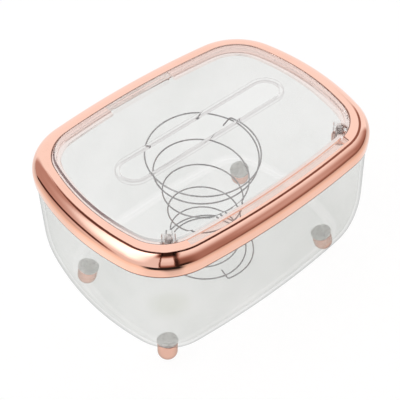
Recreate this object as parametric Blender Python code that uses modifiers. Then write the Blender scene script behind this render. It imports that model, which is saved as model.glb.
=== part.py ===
"""Clear spring-lift tissue box with a rose-gold rim, in metres, +Z up.

The origin is on the table, under the middle of the box. +X runs along the long side and the
front long side faces -Y. The cover (rim, panel and screws) lifts off along +Z, and the wire
spring inside the tub is pressed down along -Z.
"""
import math

import bmesh
import bpy
from mathutils import Matrix, Vector

# Plan of the box at its widest, the rim: a rectangle with round corners and bowed sides
HALF_LENGTH = 0.105
HALF_WIDTH = 0.0779
CORNER_RADIUS = 0.042
LONG_SIDE_BOW = 0.0032
SHORT_SIDE_BOW = 0.0041
CORNER_STEPS = 8
LONG_SIDE_STEPS = 6
SHORT_SIDE_STEPS = 4

# Heights above the table
UNDERSIDE_Z = 0.0140
RIM_Z = 0.1135

# Space between pieces, small edge rounding, and how far a cutter runs past what it cuts
GAP = 0.0003
EDGE = 0.0005
OVERCUT = 0.002

# Clear tub
TUB_INSET = 0.0016
TUB_WALL = 0.0023
TUB_TOP_Z = RIM_Z + 0.0005
BASE_ROUND_WIDTH = 0.0280
BASE_ROUND_HEIGHT = 0.0495
BASE_ROUND_STEPS = 9
FLOOR_THICKNESS = 0.0024

# Plated rim ring
RIM_DROP = 0.0060
RIM_RISE = 0.0095
RIM_DEPTH = 0.0127
RIM_ROUND_STEPS = 6
RIM_TUCK = 0.00035
SKIRT_WALL = 0.0013
INNER_SKIRT_WALL = 0.0016
LEDGE_Z = RIM_Z + 0.0055
LEDGE_THICKNESS = 0.0020
LEDGE_OUTER = 0.0136
LEDGE_INNER = 0.0188
LEDGE_NOTCH = 0.053
NOTCH_STANDOFF = 0.0006
FRONT_OPENING_OUTER = 0.0086
FRONT_OPENING_INNER = 0.0166
FRONT_OPENING_HALF = 0.0655

# Clear crowned panel with its slot
PANEL_INSET = LEDGE_OUTER + GAP
PANEL_EDGE_Z = RIM_Z + 0.0080
PANEL_SHOULDER_Z = RIM_Z + 0.0115
SHOULDER_WIDTH = 0.0024
SHOULDER_STEPS = 4
PANEL_CROWN_Z = RIM_Z + 0.0159
PANEL_WALL = 0.0022
CROWN_RINGS = 5
SLOT_HALF_STRAIGHT = 0.0544
SLOT_RADIUS = 0.0094
SLOT_LIP_WIDTH = 0.0023
SLOT_LIP_HEIGHT = 0.0010
LUG_THICKNESS = 0.0018
LUG_DROP = 0.0043
LUG_ROOT = 0.0012
LUG_STANDOFF = 0.0014
LUG_SIDE_GAP = 0.003
FRONT_LIP_LOW_Z = LEDGE_Z + 0.0006
FRONT_LIP_TOP_Z = PANEL_EDGE_Z - 0.0004

# Screw bosses under the panel, at the two front corners, and the rim's cupped tabs below them
BOSS_X = 0.0713
BOSS_Y = -0.0519
BOSS_RADIUS = 0.00435
BOSS_BOTTOM_Z = RIM_Z - 0.0005
BOSS_BORE_TOP_Z = RIM_Z + 0.0084
TAB_RADIUS = 0.0052
TAB_HALF_WIDTH = 0.0040
TAB_REACH = 0.0140
TAB_BOTTOM_Z = RIM_Z - 0.0028
TAB_TOP_Z = BOSS_BOTTOM_Z + 0.0006
SCREW_RADIUS = 0.0024
SCREW_TIP_Z = RIM_Z + 0.0077
SCREW_HEAD_RADIUS = 0.0040
SCREW_HEAD_HEIGHT = 0.0024
SCREW_SLOT_WIDTH = 0.0009
SCREW_SLOT_DEPTH = 0.0009

# Feet and the grey pads above them
FOOT_X = 0.0711
FOOT_Y = 0.0430
FOOT_RADIUS = 0.0068
FOOT_FLAT_DEPTH = 0.00035
FOOT_SPLAY = math.radians(12)
FOOT_TURN = math.radians(40)
PAD_RADIUS = 0.0072
PAD_THICKNESS = 0.0006
PAD_REACH = 0.006
FOOT_STEPS = 20

# Hourglass spring: a flat turn at each end, whose wire end turns in over the next turn
WIRE_DIAMETER = 0.0010
WIRE_LIFT = 0.0019
SPRING_TOP_Z = RIM_Z - 0.0060
SPRING_BOTTOM_Z = UNDERSIDE_Z + FLOOR_THICKNESS + GAP + WIRE_DIAMETER / 2
TOP_RADIUS = 0.0376
WAIST_RADIUS = 0.0240
BASE_RADIUS = 0.0298
BOTTOM_RADIUS = 0.0348
WAIST_PLACE = 0.73
TOP_FLARE = 2.3
BOTTOM_FLARE = 3.0
WORKING_TURNS = 5.336
BOTTOM_RAMP = 0.24
TOP_END_ANGLE = math.radians(18)
COIL_TILT = 0.0023
COIL_TILT_ANGLE = math.radians(88)
TILT_ENDS_AT = 5.0
CLOSING_TURNS = 0.15
SPREADING_TURNS = 0.45
TAIL_LENGTH = 0.0075
TAIL_BEND = 0.0015
POINTS_PER_TURN = 24

ROSE_GOLD = (0.86, 0.52, 0.42)
CLEAR = (0.88, 0.90, 0.90)
STEEL = (0.55, 0.55, 0.54)
PAD_GREY = (0.36, 0.36, 0.35)


def clear_scene():
    """Empty the scene, so that the script can be run again."""
    for old in list(bpy.data.objects):
        bpy.data.objects.remove(old, do_unlink=True)


def new_collection(name):
    """A collection of the scene, made if it isn't there yet."""
    made = bpy.data.collections.get(name) or bpy.data.collections.new(name)
    if made.name not in bpy.context.scene.collection.children:
        bpy.context.scene.collection.children.link(made)
    return made


clear_scene()
PARTS = new_collection("tissue_box")
CUTTERS = new_collection("tissue_box_cutters")


def material(name, colour, roughness, metallic=0.0, alpha=1.0):
    """A Principled material of one finish."""
    made = bpy.data.materials.get(name) or bpy.data.materials.new(name)
    made.use_nodes = True
    shader = made.node_tree.nodes["Principled BSDF"]
    shader.inputs["Base Color"].default_value = (*colour, 1.0)
    shader.inputs["Roughness"].default_value = roughness
    shader.inputs["Metallic"].default_value = metallic
    shader.inputs["Alpha"].default_value = alpha
    made.diffuse_color = (*colour, alpha)
    return made


def add_object(name, mesh, collection):
    """An object for a mesh, linked to a collection."""
    made = bpy.data.objects.new(name, mesh)
    collection.objects.link(made)
    return made


def finish(piece, surface, angle=35):
    """Give a piece its material and smooth shading up to an edge angle in degrees."""
    piece.data.materials.clear()
    piece.data.materials.append(surface)
    piece.data.shade_smooth()
    piece.data.set_sharp_from_angle(angle=math.radians(angle))
    return piece


def mesh_of(piece):
    """The evaluated mesh of an object, with coincident points welded."""
    graph = bpy.context.evaluated_depsgraph_get()
    graph.update()
    made = bpy.data.meshes.new_from_object(piece.evaluated_get(graph))
    work = bmesh.new()
    work.from_mesh(made)
    bmesh.ops.remove_doubles(work, verts=work.verts, dist=1e-6)
    work.to_mesh(made)
    work.free()
    return made


def apply_modifiers(piece):
    """Swap an object's mesh for its evaluated one."""
    made = mesh_of(piece)
    piece.modifiers.clear()
    piece.data = made
    return piece


def combine(piece, other, operation):
    """Boolean of a piece with another object, which is kept as a wire cutter."""
    other.hide_render = True
    other.display_type = "WIRE"
    step = piece.modifiers.new(other.name, "BOOLEAN")
    step.operation = operation
    step.object = other
    step.solver = "EXACT"
    return apply_modifiers(piece)


def block(name, low, high):
    """A box cutter between two corners."""
    work = bmesh.new()
    bmesh.ops.create_cube(work, size=1.0)
    size = Vector(high) - Vector(low)
    middle = (Vector(high) + Vector(low)) / 2
    bmesh.ops.transform(work, matrix=Matrix.Translation(middle) @ Matrix.Diagonal((*size, 1)), verts=work.verts)
    mesh = bpy.data.meshes.new(name)
    work.to_mesh(mesh)
    work.free()
    return add_object(name, mesh, CUTTERS)


def post(name, x, y, radius, low, high, steps=24):
    """An upright cylinder cutter."""
    work = bmesh.new()
    bmesh.ops.create_cone(
        work, cap_ends=True, segments=steps, radius1=radius, radius2=radius, depth=high - low,
        matrix=Matrix.Translation((x, y, (low + high) / 2)),
    )
    mesh = bpy.data.meshes.new(name)
    work.to_mesh(mesh)
    work.free()
    return add_object(name, mesh, CUTTERS)


def turned(name, profile, steps, collection):
    """A turned solid from a profile of (radius, height), listed from the top down."""
    mesh = bpy.data.meshes.new(name)
    points = [(radius, 0.0, height) for radius, height in profile]
    mesh.from_pydata(points, [(i, i + 1) for i in range(len(points) - 1)], [])
    made = add_object(name, mesh, collection)
    screw = made.modifiers.new("turn", "SCREW")
    screw.steps = steps
    screw.render_steps = steps
    screw.use_merge_vertices = True
    screw.merge_threshold = 1e-5
    return apply_modifiers(made)


def plan_arcs():
    """The sides and corners of the plan: centre, radius and the turn of each, counter-clockwise."""
    core_x = HALF_LENGTH - CORNER_RADIUS - SHORT_SIDE_BOW
    core_y = HALF_WIDTH - CORNER_RADIUS - LONG_SIDE_BOW
    long_radius = (core_x**2 + LONG_SIDE_BOW**2) / (2 * LONG_SIDE_BOW)
    short_radius = (core_y**2 + SHORT_SIDE_BOW**2) / (2 * SHORT_SIDE_BOW)
    long_tilt = math.asin(core_x / long_radius)
    short_tilt = math.asin(core_y / short_radius)
    quarter = math.pi / 2
    arcs = []
    for turn in range(4):
        start = turn * quarter
        along_x = turn % 2 == 0
        tilt, next_tilt = (short_tilt, long_tilt) if along_x else (long_tilt, short_tilt)
        side_radius = short_radius if along_x else long_radius
        reach = HALF_LENGTH if along_x else HALF_WIDTH
        back = reach - CORNER_RADIUS - side_radius
        centre = (back * math.cos(start), back * math.sin(start))
        steps = SHORT_SIDE_STEPS if along_x else LONG_SIDE_STEPS
        arcs.append((centre, side_radius, start - tilt, start + tilt, steps))
        corner = (core_x * (1 if turn in (0, 3) else -1), core_y * (1 if turn in (0, 1) else -1))
        arcs.append((corner, 0.0, start + tilt, start + quarter - next_tilt, CORNER_STEPS))
    return arcs


PLAN_ARCS = plan_arcs()
LONG_TILT = PLAN_ARCS[2][3] - math.pi / 2


def plan_ring(inset, height):
    """The plan's outline, drawn in by an inset, at a height."""
    ring = []
    for (x, y), radius, start, end, steps in PLAN_ARCS:
        reach = radius + CORNER_RADIUS - inset
        for step in range(steps):
            angle = start + (end - start) * step / steps
            ring.append(Vector((x + reach * math.cos(angle), y + reach * math.sin(angle), height)))
    return ring


def slot_ring(radius, height):
    """The slot's outline, one point for each point of the plan, matched by the way it faces."""
    ring = []
    end_turn = math.pi / 2 - LONG_TILT
    for _, _, start, end, steps in PLAN_ARCS:
        for step in range(steps):
            angle = start + (end - start) * step / steps
            turn = math.atan2(math.sin(angle), math.cos(angle))
            side = math.copysign(1.0, turn)
            from_side = abs(turn) - math.pi / 2
            if abs(from_side) <= LONG_TILT + 1e-9:
                x = -SLOT_HALF_STRAIGHT * from_side / LONG_TILT
                ring.append(Vector((x, side * radius, height)))
                continue
            right = abs(turn) < math.pi / 2
            swing = turn if right else math.atan2(math.sin(turn - math.pi), math.cos(turn - math.pi))
            swing *= (math.pi / 2) / end_turn
            x = (SLOT_HALF_STRAIGHT + radius * math.cos(swing)) * (1 if right else -1)
            ring.append(Vector((x, radius * math.sin(swing) * (1 if right else -1), height)))
    return ring


def loft(name, rings, closed, collection=PARTS):
    """A solid through rings of equal count and unlike corners; closed joins the last to the first."""
    work = bmesh.new()
    loops = [[work.verts.new(point) for point in ring] for ring in rings]
    pairs = list(zip(loops, loops[1:]))
    if closed:
        pairs.append((loops[-1], loops[0]))
    else:
        work.faces.new(loops[0])
        work.faces.new(loops[-1])
    for lower, upper in pairs:
        for i in range(len(lower)):
            j = (i + 1) % len(lower)
            work.faces.new((lower[i], lower[j], upper[j], upper[i]))
    bmesh.ops.recalc_face_normals(work, faces=work.faces)
    mesh = bpy.data.meshes.new(name)
    work.to_mesh(mesh)
    work.free()
    return add_object(name, mesh, collection)


def base_round(extra):
    """(inset, height) down the tub's outside from the wall to the floor, moved inwards by extra."""
    middle = TUB_INSET + BASE_ROUND_WIDTH
    centre_z = UNDERSIDE_Z + BASE_ROUND_HEIGHT
    points = []
    for step in range(BASE_ROUND_STEPS + 1):
        turn = math.pi / 2 * step / BASE_ROUND_STEPS
        inset = middle - (BASE_ROUND_WIDTH - extra) * math.cos(turn)
        points.append((inset, centre_z - (BASE_ROUND_HEIGHT - extra) * math.sin(turn)))
    return points


def make_tub(surface):
    """The clear tub: one wall all round, drawn in to the floor by a large round."""
    inner = TUB_INSET + TUB_WALL
    outside = base_round(0.0)
    inside = base_round(FLOOR_THICKNESS)
    profile = list(reversed(outside))
    profile += [(TUB_INSET, TUB_TOP_Z - EDGE), (TUB_INSET + EDGE, TUB_TOP_Z)]
    profile += [(inner - EDGE, TUB_TOP_Z), (inner, TUB_TOP_Z - EDGE)]
    profile += inside
    tub = loft("tub", [plan_ring(inset, z) for inset, z in profile], closed=False)
    return finish(tub, surface)


def tub_envelope():
    """The tub's outer shape with the gap added, to trim what sits against it."""
    profile = list(reversed(base_round(-GAP)))
    profile.append((TUB_INSET - GAP, RIM_Z))
    envelope = loft("tub_envelope", [plan_ring(inset, z) for inset, z in profile], False, CUTTERS)
    envelope.hide_render = True
    envelope.display_type = "WIRE"
    return envelope


def rim_profile():
    """(inset, height) round the rim's section: rounded outside, ledge, channel for the tub's edge."""
    outer = [(RIM_TUCK, RIM_Z - RIM_DROP), (0.0, RIM_Z - RIM_DROP * 0.45)]
    for step in range(RIM_ROUND_STEPS + 1):
        turn = math.pi / 2 * step / RIM_ROUND_STEPS
        outer.append((RIM_DEPTH * (1 - math.cos(turn)), RIM_Z + RIM_RISE * math.sin(turn)))
    top = RIM_Z + RIM_RISE
    ledge = [
        (LEDGE_OUTER - EDGE * 0.6, top - EDGE * 0.6), (LEDGE_OUTER, top - EDGE * 1.8),
        (LEDGE_OUTER, LEDGE_Z), (LEDGE_INNER, LEDGE_Z), (LEDGE_INNER, LEDGE_Z - LEDGE_THICKNESS),
    ]
    skirt_outer = TUB_INSET + TUB_WALL + GAP
    skirt_inner = skirt_outer + INNER_SKIRT_WALL
    skirt_bottom = RIM_Z - RIM_DROP + EDGE
    ceiling = TUB_TOP_Z + GAP
    channel = [
        (skirt_inner, LEDGE_Z - LEDGE_THICKNESS), (skirt_inner, skirt_bottom), (skirt_outer, skirt_bottom),
        (skirt_outer, ceiling), (SKIRT_WALL, ceiling), (SKIRT_WALL, RIM_Z - RIM_DROP),
    ]
    return outer + ledge + channel


def boss_places():
    """The two screw bosses: a name and the side in X."""
    return (("left", -1), ("right", 1))


def front_strip(name, outer, inner, half, low, high):
    """A strip along the front of the plan, between two insets and two heights."""
    strip = loft(name, [plan_ring(outer, low), plan_ring(outer, high)], False, CUTTERS)
    inside_rings = [plan_ring(inner, low - OVERCUT), plan_ring(inner, high + OVERCUT)]
    strip = combine(strip, loft(name + "_inside", inside_rings, False, CUTTERS), "DIFFERENCE")
    ends = block(name + "_ends", (-half, -HALF_WIDTH, low - OVERCUT), (half, 0, high + OVERCUT))
    return combine(strip, ends, "INTERSECT")


def make_rim(surface):
    """The plated ring, with a cupped tab under each boss, a rear notch and a long front opening."""
    rim = loft("rim_ring", [plan_ring(inset, z) for inset, z in rim_profile()], closed=True)
    outward = math.atan2(-BOSS_Y - (HALF_WIDTH - CORNER_RADIUS), BOSS_X - (HALF_LENGTH - CORNER_RADIUS))
    for name, side in boss_places():
        x = side * BOSS_X
        tab = post("rim_tab_" + name, x, BOSS_Y, TAB_RADIUS, TAB_BOTTOM_Z, TAB_TOP_Z)
        rim = combine(rim, tab, "UNION")
        web = block(
            "rim_web_" + name, (0, -TAB_HALF_WIDTH, TAB_BOTTOM_Z), (TAB_REACH, TAB_HALF_WIDTH, TAB_TOP_Z)
        )
        turn = -outward if side > 0 else math.pi + outward
        web.data.transform(Matrix.Translation((x, BOSS_Y, 0)) @ Matrix.Rotation(turn, 4, "Z"))
        rim = combine(rim, web, "UNION")
    for name, side in boss_places():
        x = side * BOSS_X
        pocket_floor = BOSS_BOTTOM_Z - GAP
        pocket = post("rim_pocket_" + name, x, BOSS_Y, BOSS_RADIUS + GAP, pocket_floor, LEDGE_Z + OVERCUT)
        rim = combine(rim, pocket, "DIFFERENCE")
        hole = post("rim_hole_" + name, x, BOSS_Y, SCREW_RADIUS + GAP, TAB_BOTTOM_Z - OVERCUT, LEDGE_Z)
        rim = combine(rim, hole, "DIFFERENCE")
    low = LEDGE_Z - LEDGE_THICKNESS - OVERCUT
    high = LEDGE_Z + OVERCUT
    half = LEDGE_NOTCH / 2
    near = HALF_WIDTH - LEDGE_INNER - OVERCUT
    far = HALF_WIDTH - LEDGE_OUTER - NOTCH_STANDOFF
    rim = combine(rim, block("rim_notch", (-half, near, low), (half, far, high)), "DIFFERENCE")
    above = RIM_Z + RIM_RISE + OVERCUT
    opening = front_strip(
        "rim_front_opening", FRONT_OPENING_OUTER, FRONT_OPENING_INNER, FRONT_OPENING_HALF, low, above
    )
    return finish(combine(rim, opening, "DIFFERENCE"), surface)


def crown_rings(outer_inset, outer_z, inner_radius, inner_z):
    """Rings of the panel from its step in to the slot, rising along a smooth crown."""
    outer = plan_ring(outer_inset, 0.0)
    inner = slot_ring(inner_radius, 0.0)
    rings = []
    for step in range(CROWN_RINGS + 1):
        share = step / CROWN_RINGS
        height = outer_z + (inner_z - outer_z) * (1 - (1 - share) ** 2)
        rings.append([a.lerp(b, share) + Vector((0, 0, height)) for a, b in zip(outer, inner)])
    return rings


def shoulder(inset, low, width, high):
    """(inset, height) round the panel's shoulder, from its upright edge to its level top."""
    points = []
    for step in range(SHOULDER_STEPS):
        turn = math.pi / 2 * step / SHOULDER_STEPS
        points.append((inset + width * (1 - math.cos(turn)), low + (high - low) * math.sin(turn)))
    return points


def panel_top(drop):
    """Rings over the panel's top, from its edge in to the slot's lip, lowered by a drop."""
    high = PANEL_SHOULDER_Z - drop
    edge = shoulder(PANEL_INSET, PANEL_EDGE_Z - drop, SHOULDER_WIDTH, high)
    rings = [plan_ring(inset, z) for inset, z in edge]
    lip = SLOT_RADIUS + SLOT_LIP_WIDTH
    return rings + crown_rings(PANEL_INSET + SHOULDER_WIDTH, high, lip, PANEL_CROWN_Z - drop)


def slot_lip():
    """Rings over the raised lip of the slot and down its wall."""
    lip = SLOT_RADIUS + SLOT_LIP_WIDTH
    high = PANEL_CROWN_Z + SLOT_LIP_HEIGHT
    return [
        slot_ring(lip - SLOT_LIP_WIDTH * 0.25, high - SLOT_LIP_HEIGHT * 0.25),
        slot_ring(lip - SLOT_LIP_WIDTH * 0.5, high),
        slot_ring(lip - SLOT_LIP_WIDTH * 0.8, high - SLOT_LIP_HEIGHT * 0.25),
        slot_ring(SLOT_RADIUS, PANEL_CROWN_Z - SLOT_LIP_HEIGHT * 0.3),
        slot_ring(SLOT_RADIUS, PANEL_CROWN_Z - PANEL_WALL + EDGE),
    ]


def panel_rings():
    """The panel's section, over the top from its edge to the slot and back underneath."""
    seat = LEDGE_Z + GAP
    inside = PANEL_INSET + PANEL_WALL
    high = PANEL_SHOULDER_Z - PANEL_WALL
    rings = [plan_ring(PANEL_INSET, seat)] + panel_top(0.0) + slot_lip()
    below = crown_rings(inside + SHOULDER_WIDTH, high, SLOT_RADIUS + EDGE, PANEL_CROWN_Z - PANEL_WALL)
    rings += reversed(below)
    return rings + [plan_ring(inset, z) for inset, z in reversed(shoulder(inside, seat, SHOULDER_WIDTH, high))]


def make_panel(surface):
    """The clear crowned panel: two bored bosses, a rear lug, and a lip in the rim's front opening."""
    panel = loft("lid_panel", panel_rings(), closed=True)
    under = loft("panel_underfill", [plan_ring(PANEL_INSET, 0.0)] + panel_top(PANEL_WALL * 0.4), False, CUTTERS)
    for name, side in boss_places():
        boss = post("panel_boss_" + name, side * BOSS_X, BOSS_Y, BOSS_RADIUS, BOSS_BOTTOM_Z, PANEL_CROWN_Z)
        panel = combine(panel, combine(boss, under, "INTERSECT"), "UNION")
    half = LEDGE_NOTCH / 2 - LUG_SIDE_GAP
    far = HALF_WIDTH - LEDGE_OUTER - LUG_STANDOFF
    near = far - LUG_THICKNESS
    lug = block("panel_lug", (-half, near, LEDGE_Z - LUG_DROP), (half, far, LEDGE_Z + LUG_ROOT))
    panel = combine(panel, lug, "UNION")
    lip = front_strip(
        "panel_front_lip", FRONT_OPENING_OUTER + GAP, PANEL_INSET + PANEL_WALL / 2,
        FRONT_OPENING_HALF - GAP, FRONT_LIP_LOW_Z, FRONT_LIP_TOP_Z,
    )
    panel = combine(panel, lip, "UNION")
    for name, side in boss_places():
        bore = post(
            "panel_bore_" + name, side * BOSS_X, BOSS_Y, SCREW_RADIUS + GAP, BOSS_BOTTOM_Z - OVERCUT, BOSS_BORE_TOP_Z
        )
        panel = combine(panel, bore, "DIFFERENCE")
    return finish(panel, surface)


def make_screws(surface):
    """The two screws that hold the panel down, put in from below through the rim's tabs."""
    head_top = TAB_BOTTOM_Z - GAP
    head_low = head_top - SCREW_HEAD_HEIGHT
    profile = [
        (0.0, SCREW_TIP_Z), (SCREW_RADIUS * 0.75, SCREW_TIP_Z), (SCREW_RADIUS, SCREW_TIP_Z - EDGE),
        (SCREW_RADIUS, head_top), (SCREW_HEAD_RADIUS, head_top),
        (SCREW_HEAD_RADIUS, head_low + EDGE), (SCREW_HEAD_RADIUS - EDGE, head_low), (0.0, head_low),
    ]
    model = turned("lid_screw_left", profile, 16, PARTS)
    for name, half_x, half_y in (
        ("screw_slot_a", SCREW_HEAD_RADIUS * 0.6, SCREW_SLOT_WIDTH / 2),
        ("screw_slot_b", SCREW_SLOT_WIDTH / 2, SCREW_HEAD_RADIUS * 0.6),
    ):
        cut = block(name, (-half_x, -half_y, head_low - OVERCUT), (half_x, half_y, head_low + SCREW_SLOT_DEPTH))
        model = combine(model, cut, "DIFFERENCE")
    finish(model, surface)
    model.location = (-BOSS_X, BOSS_Y, 0)
    twin = add_object("lid_screw_right", model.data, PARTS)
    twin.location = (BOSS_X, BOSS_Y, 0)
    return [model, twin]


def foot_places():
    """The four feet: a name, the sides in X and Y, and the turn about Z of each one's splay."""
    return (
        ("front_left", -1, -1, math.pi + FOOT_TURN),
        ("front_right", 1, -1, -FOOT_TURN),
        ("rear_right", 1, 1, FOOT_TURN),
        ("rear_left", -1, 1, math.pi - FOOT_TURN),
    )


def foot_axis():
    """The frame of a foot that splays towards +X: its ball's centre is the origin, at its height."""
    height = FOOT_RADIUS - FOOT_FLAT_DEPTH
    lean = math.tan(FOOT_SPLAY) * (UNDERSIDE_Z - height)
    return Matrix.Translation((lean, 0, height)) @ Matrix.Rotation(-FOOT_SPLAY, 4, "Y")


def pad_bottom():
    """Height of a pad's lower face along a foot's axis, from its ball's centre."""
    return (UNDERSIDE_Z - FOOT_RADIUS) / math.cos(FOOT_SPLAY) - PAD_THICKNESS + FOOT_FLAT_DEPTH


def make_feet(surface):
    """Four splayed bullet feet that share one mesh, flattened where they stand on the table."""
    top = pad_bottom() - GAP
    profile = [(0.0, top), (FOOT_RADIUS - EDGE, top), (FOOT_RADIUS, top - EDGE)]
    ball_steps = 6
    for step in range(ball_steps + 1):
        turn = math.pi / 2 * step / ball_steps
        profile.append((FOOT_RADIUS * math.cos(turn), -FOOT_RADIUS * math.sin(turn)))
    profile[-1] = (0.0, -FOOT_RADIUS)
    model = turned("foot_front_left", profile, FOOT_STEPS, PARTS)
    model.data.transform(foot_axis())
    table = block("table_plane", (-0.03, -0.03, -0.02), (0.03, 0.03, 0.0))
    finish(combine(model, table, "DIFFERENCE"), surface)
    feet = []
    for name, side_x, side_y, turn in foot_places():
        foot = model if name == "front_left" else add_object("foot_" + name, model.data, PARTS)
        foot.location = (side_x * FOOT_X, side_y * FOOT_Y, 0)
        foot.rotation_euler = (0, 0, turn)
        feet.append(foot)
    return feet


def make_pads(surface):
    """Grey pads between the feet and the tub, trimmed to the tub's round."""
    envelope = tub_envelope()
    low = pad_bottom()
    pads = []
    for name, side_x, side_y, turn in foot_places():
        profile = [
            (0.0, low + PAD_REACH), (PAD_RADIUS, low + PAD_REACH),
            (PAD_RADIUS, low + EDGE), (PAD_RADIUS - EDGE, low), (0.0, low),
        ]
        pad = turned("foot_pad_" + name, profile, FOOT_STEPS, PARTS)
        place = Matrix.Translation((side_x * FOOT_X, side_y * FOOT_Y, 0)) @ Matrix.Rotation(turn, 4, "Z")
        pad.data.transform(place @ foot_axis())
        pads.append(finish(combine(pad, envelope, "DIFFERENCE"), surface))
    return pads


def eased(share):
    """Share of the spring's drop after a share of its working turns, slowing down to the floor."""
    pace = 1 / (1 - BOTTOM_RAMP / 2)
    if share > 1 - BOTTOM_RAMP:
        return 1 - pace * (1 - share) ** 2 / (2 * BOTTOM_RAMP)
    return pace * share


def coil_radius(share):
    """Radius of the spring after a share of its working turns: wide ends and a narrow waist."""
    if share < WAIST_PLACE:
        flare = ((WAIST_PLACE - share) / WAIST_PLACE) ** TOP_FLARE
        return WAIST_RADIUS + (TOP_RADIUS - WAIST_RADIUS) * flare
    flare = ((share - WAIST_PLACE) / (1 - WAIST_PLACE)) ** BOTTOM_FLARE
    return WAIST_RADIUS + (BASE_RADIUS - WAIST_RADIUS) * flare


def smooth(share):
    """A smooth step from 0 to 1."""
    share = min(max(share, 0.0), 1.0)
    return share * share * (3 - 2 * share)


def wire_point(turns):
    """The wire's centre after some turns down from its upper end, at 0.

    The first turn lies nearly flat and ducks under its own start, the working turns follow, and
    the last turn lies on the floor, spreads, and lifts at its end to clear the turn it crosses.
    """
    angle = TOP_END_ANGLE - 2 * math.pi * turns
    last = 2 + WORKING_TURNS
    ducked = SPRING_TOP_Z - WIRE_LIFT
    if turns < 1:
        radius = TOP_RADIUS
        height = SPRING_TOP_Z - WIRE_LIFT * smooth((turns - 1 + CLOSING_TURNS) / CLOSING_TURNS)
    elif turns < 1 + WORKING_TURNS:
        share = (turns - 1) / WORKING_TURNS
        radius = coil_radius(share)
        height = ducked + (SPRING_BOTTOM_Z - ducked) * eased(share)
    else:
        spread = smooth((turns - last + SPREADING_TURNS) / SPREADING_TURNS)
        radius = BASE_RADIUS + (BOTTOM_RADIUS - BASE_RADIUS) * spread
        height = SPRING_BOTTOM_Z + WIRE_LIFT * smooth((turns - last + CLOSING_TURNS) / CLOSING_TURNS)
    tilt = min(1.0, max(0.0, (TILT_ENDS_AT - turns) / (TILT_ENDS_AT - 2)))
    height += COIL_TILT * math.cos(angle - COIL_TILT_ANGLE) * tilt
    return Vector((radius * math.cos(angle), radius * math.sin(angle), height))


def tail_points(end, before):
    """A wire end that bends square to its turn and runs straight in towards the axis."""
    onward = end - before
    onward.z = 0
    onward.normalize()
    inward = Vector((-end.x, -end.y, 0)).normalized()
    points = []
    for degrees in (30, 60, 90):
        turn = math.radians(degrees)
        points.append(end + TAIL_BEND * (onward * math.sin(turn) + inward * (1 - math.cos(turn))))
    return points + [points[-1] + inward * TAIL_LENGTH]


def wire_points():
    """The whole wire from its upper tip to its lower one."""
    turns = 2 + WORKING_TURNS
    count = round(turns * POINTS_PER_TURN)
    run = [wire_point(turns * step / count) for step in range(count + 1)]
    upper = tail_points(run[0], run[1])
    return list(reversed(upper)) + run + tail_points(run[-1], run[-2])


def least_gap(points):
    """The wire's least gap to itself, between stretches more than five wire diameters apart."""
    fine = []
    for a, b in zip(points, points[1:]):
        count = max(1, round((b - a).length / (WIRE_DIAMETER / 2)))
        fine += [a.lerp(b, step / count) for step in range(count)]
    along = [0.0]
    for a, b in zip(fine, fine[1:]):
        along.append(along[-1] + (b - a).length)
    least = 1.0
    for i, a in enumerate(fine):
        for j in range(i + 1, len(fine)):
            if along[j] - along[i] > 5 * WIRE_DIAMETER:
                least = min(least, (fine[j] - a).length)
    return least - WIRE_DIAMETER


def make_spring(surface):
    """The hourglass spring, one unbroken wire, with its origin on the axis at the tub's floor."""
    points = wire_points()
    print("spring wire: least gap to itself", round(least_gap(points) * 1000, 2), "mm")
    base = Vector((0, 0, UNDERSIDE_Z + FLOOR_THICKNESS))
    curve = bpy.data.curves.new("spring", "CURVE")
    curve.dimensions = "3D"
    curve.bevel_depth = WIRE_DIAMETER / 2
    curve.bevel_resolution = 1
    curve.use_fill_caps = True
    spline = curve.splines.new("POLY")
    spline.points.add(len(points) - 1)
    for target, point in zip(spline.points, points):
        target.co = (*(point - base), 1.0)
    curve.materials.append(surface)
    spring = bpy.data.objects.new("spring", curve)
    spring.location = base
    PARTS.objects.link(spring)
    return spring


def build():
    """Make every piece, and hang the cover's pieces on an empty on its lift axis."""
    clear = material("clear plastic", CLEAR, 0.05, alpha=0.25)
    plated = material("rose gold plating", ROSE_GOLD, 0.12, metallic=1.0)
    steel = material("steel", STEEL, 0.3, metallic=1.0)
    grey = material("grey pad", PAD_GREY, 0.6)
    make_tub(clear)
    make_feet(plated)
    make_pads(grey)
    make_spring(steel)
    cover = [make_rim(plated), make_panel(clear)] + make_screws(steel)
    lift = bpy.data.objects.new("cover_lift", None)
    lift.location = (0, 0, RIM_Z)
    PARTS.objects.link(lift)
    bpy.context.view_layer.update()
    for piece in cover:
        piece.parent = lift
        piece.matrix_parent_inverse = lift.matrix_world.inverted()


build()
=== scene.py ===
"""Looks of the clear spring-lift tissue box: clear tub and lid, plated rim, wire spring, small feet.

Every piece is modelled where the CAD solid is, in metres. The studio is a white floor and backdrop,
with a soft box to the left of the camera and a dim room behind it, which the plated rim mirrors.
"""
import math

import bpy
from mathutils import Matrix, Vector


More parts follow.
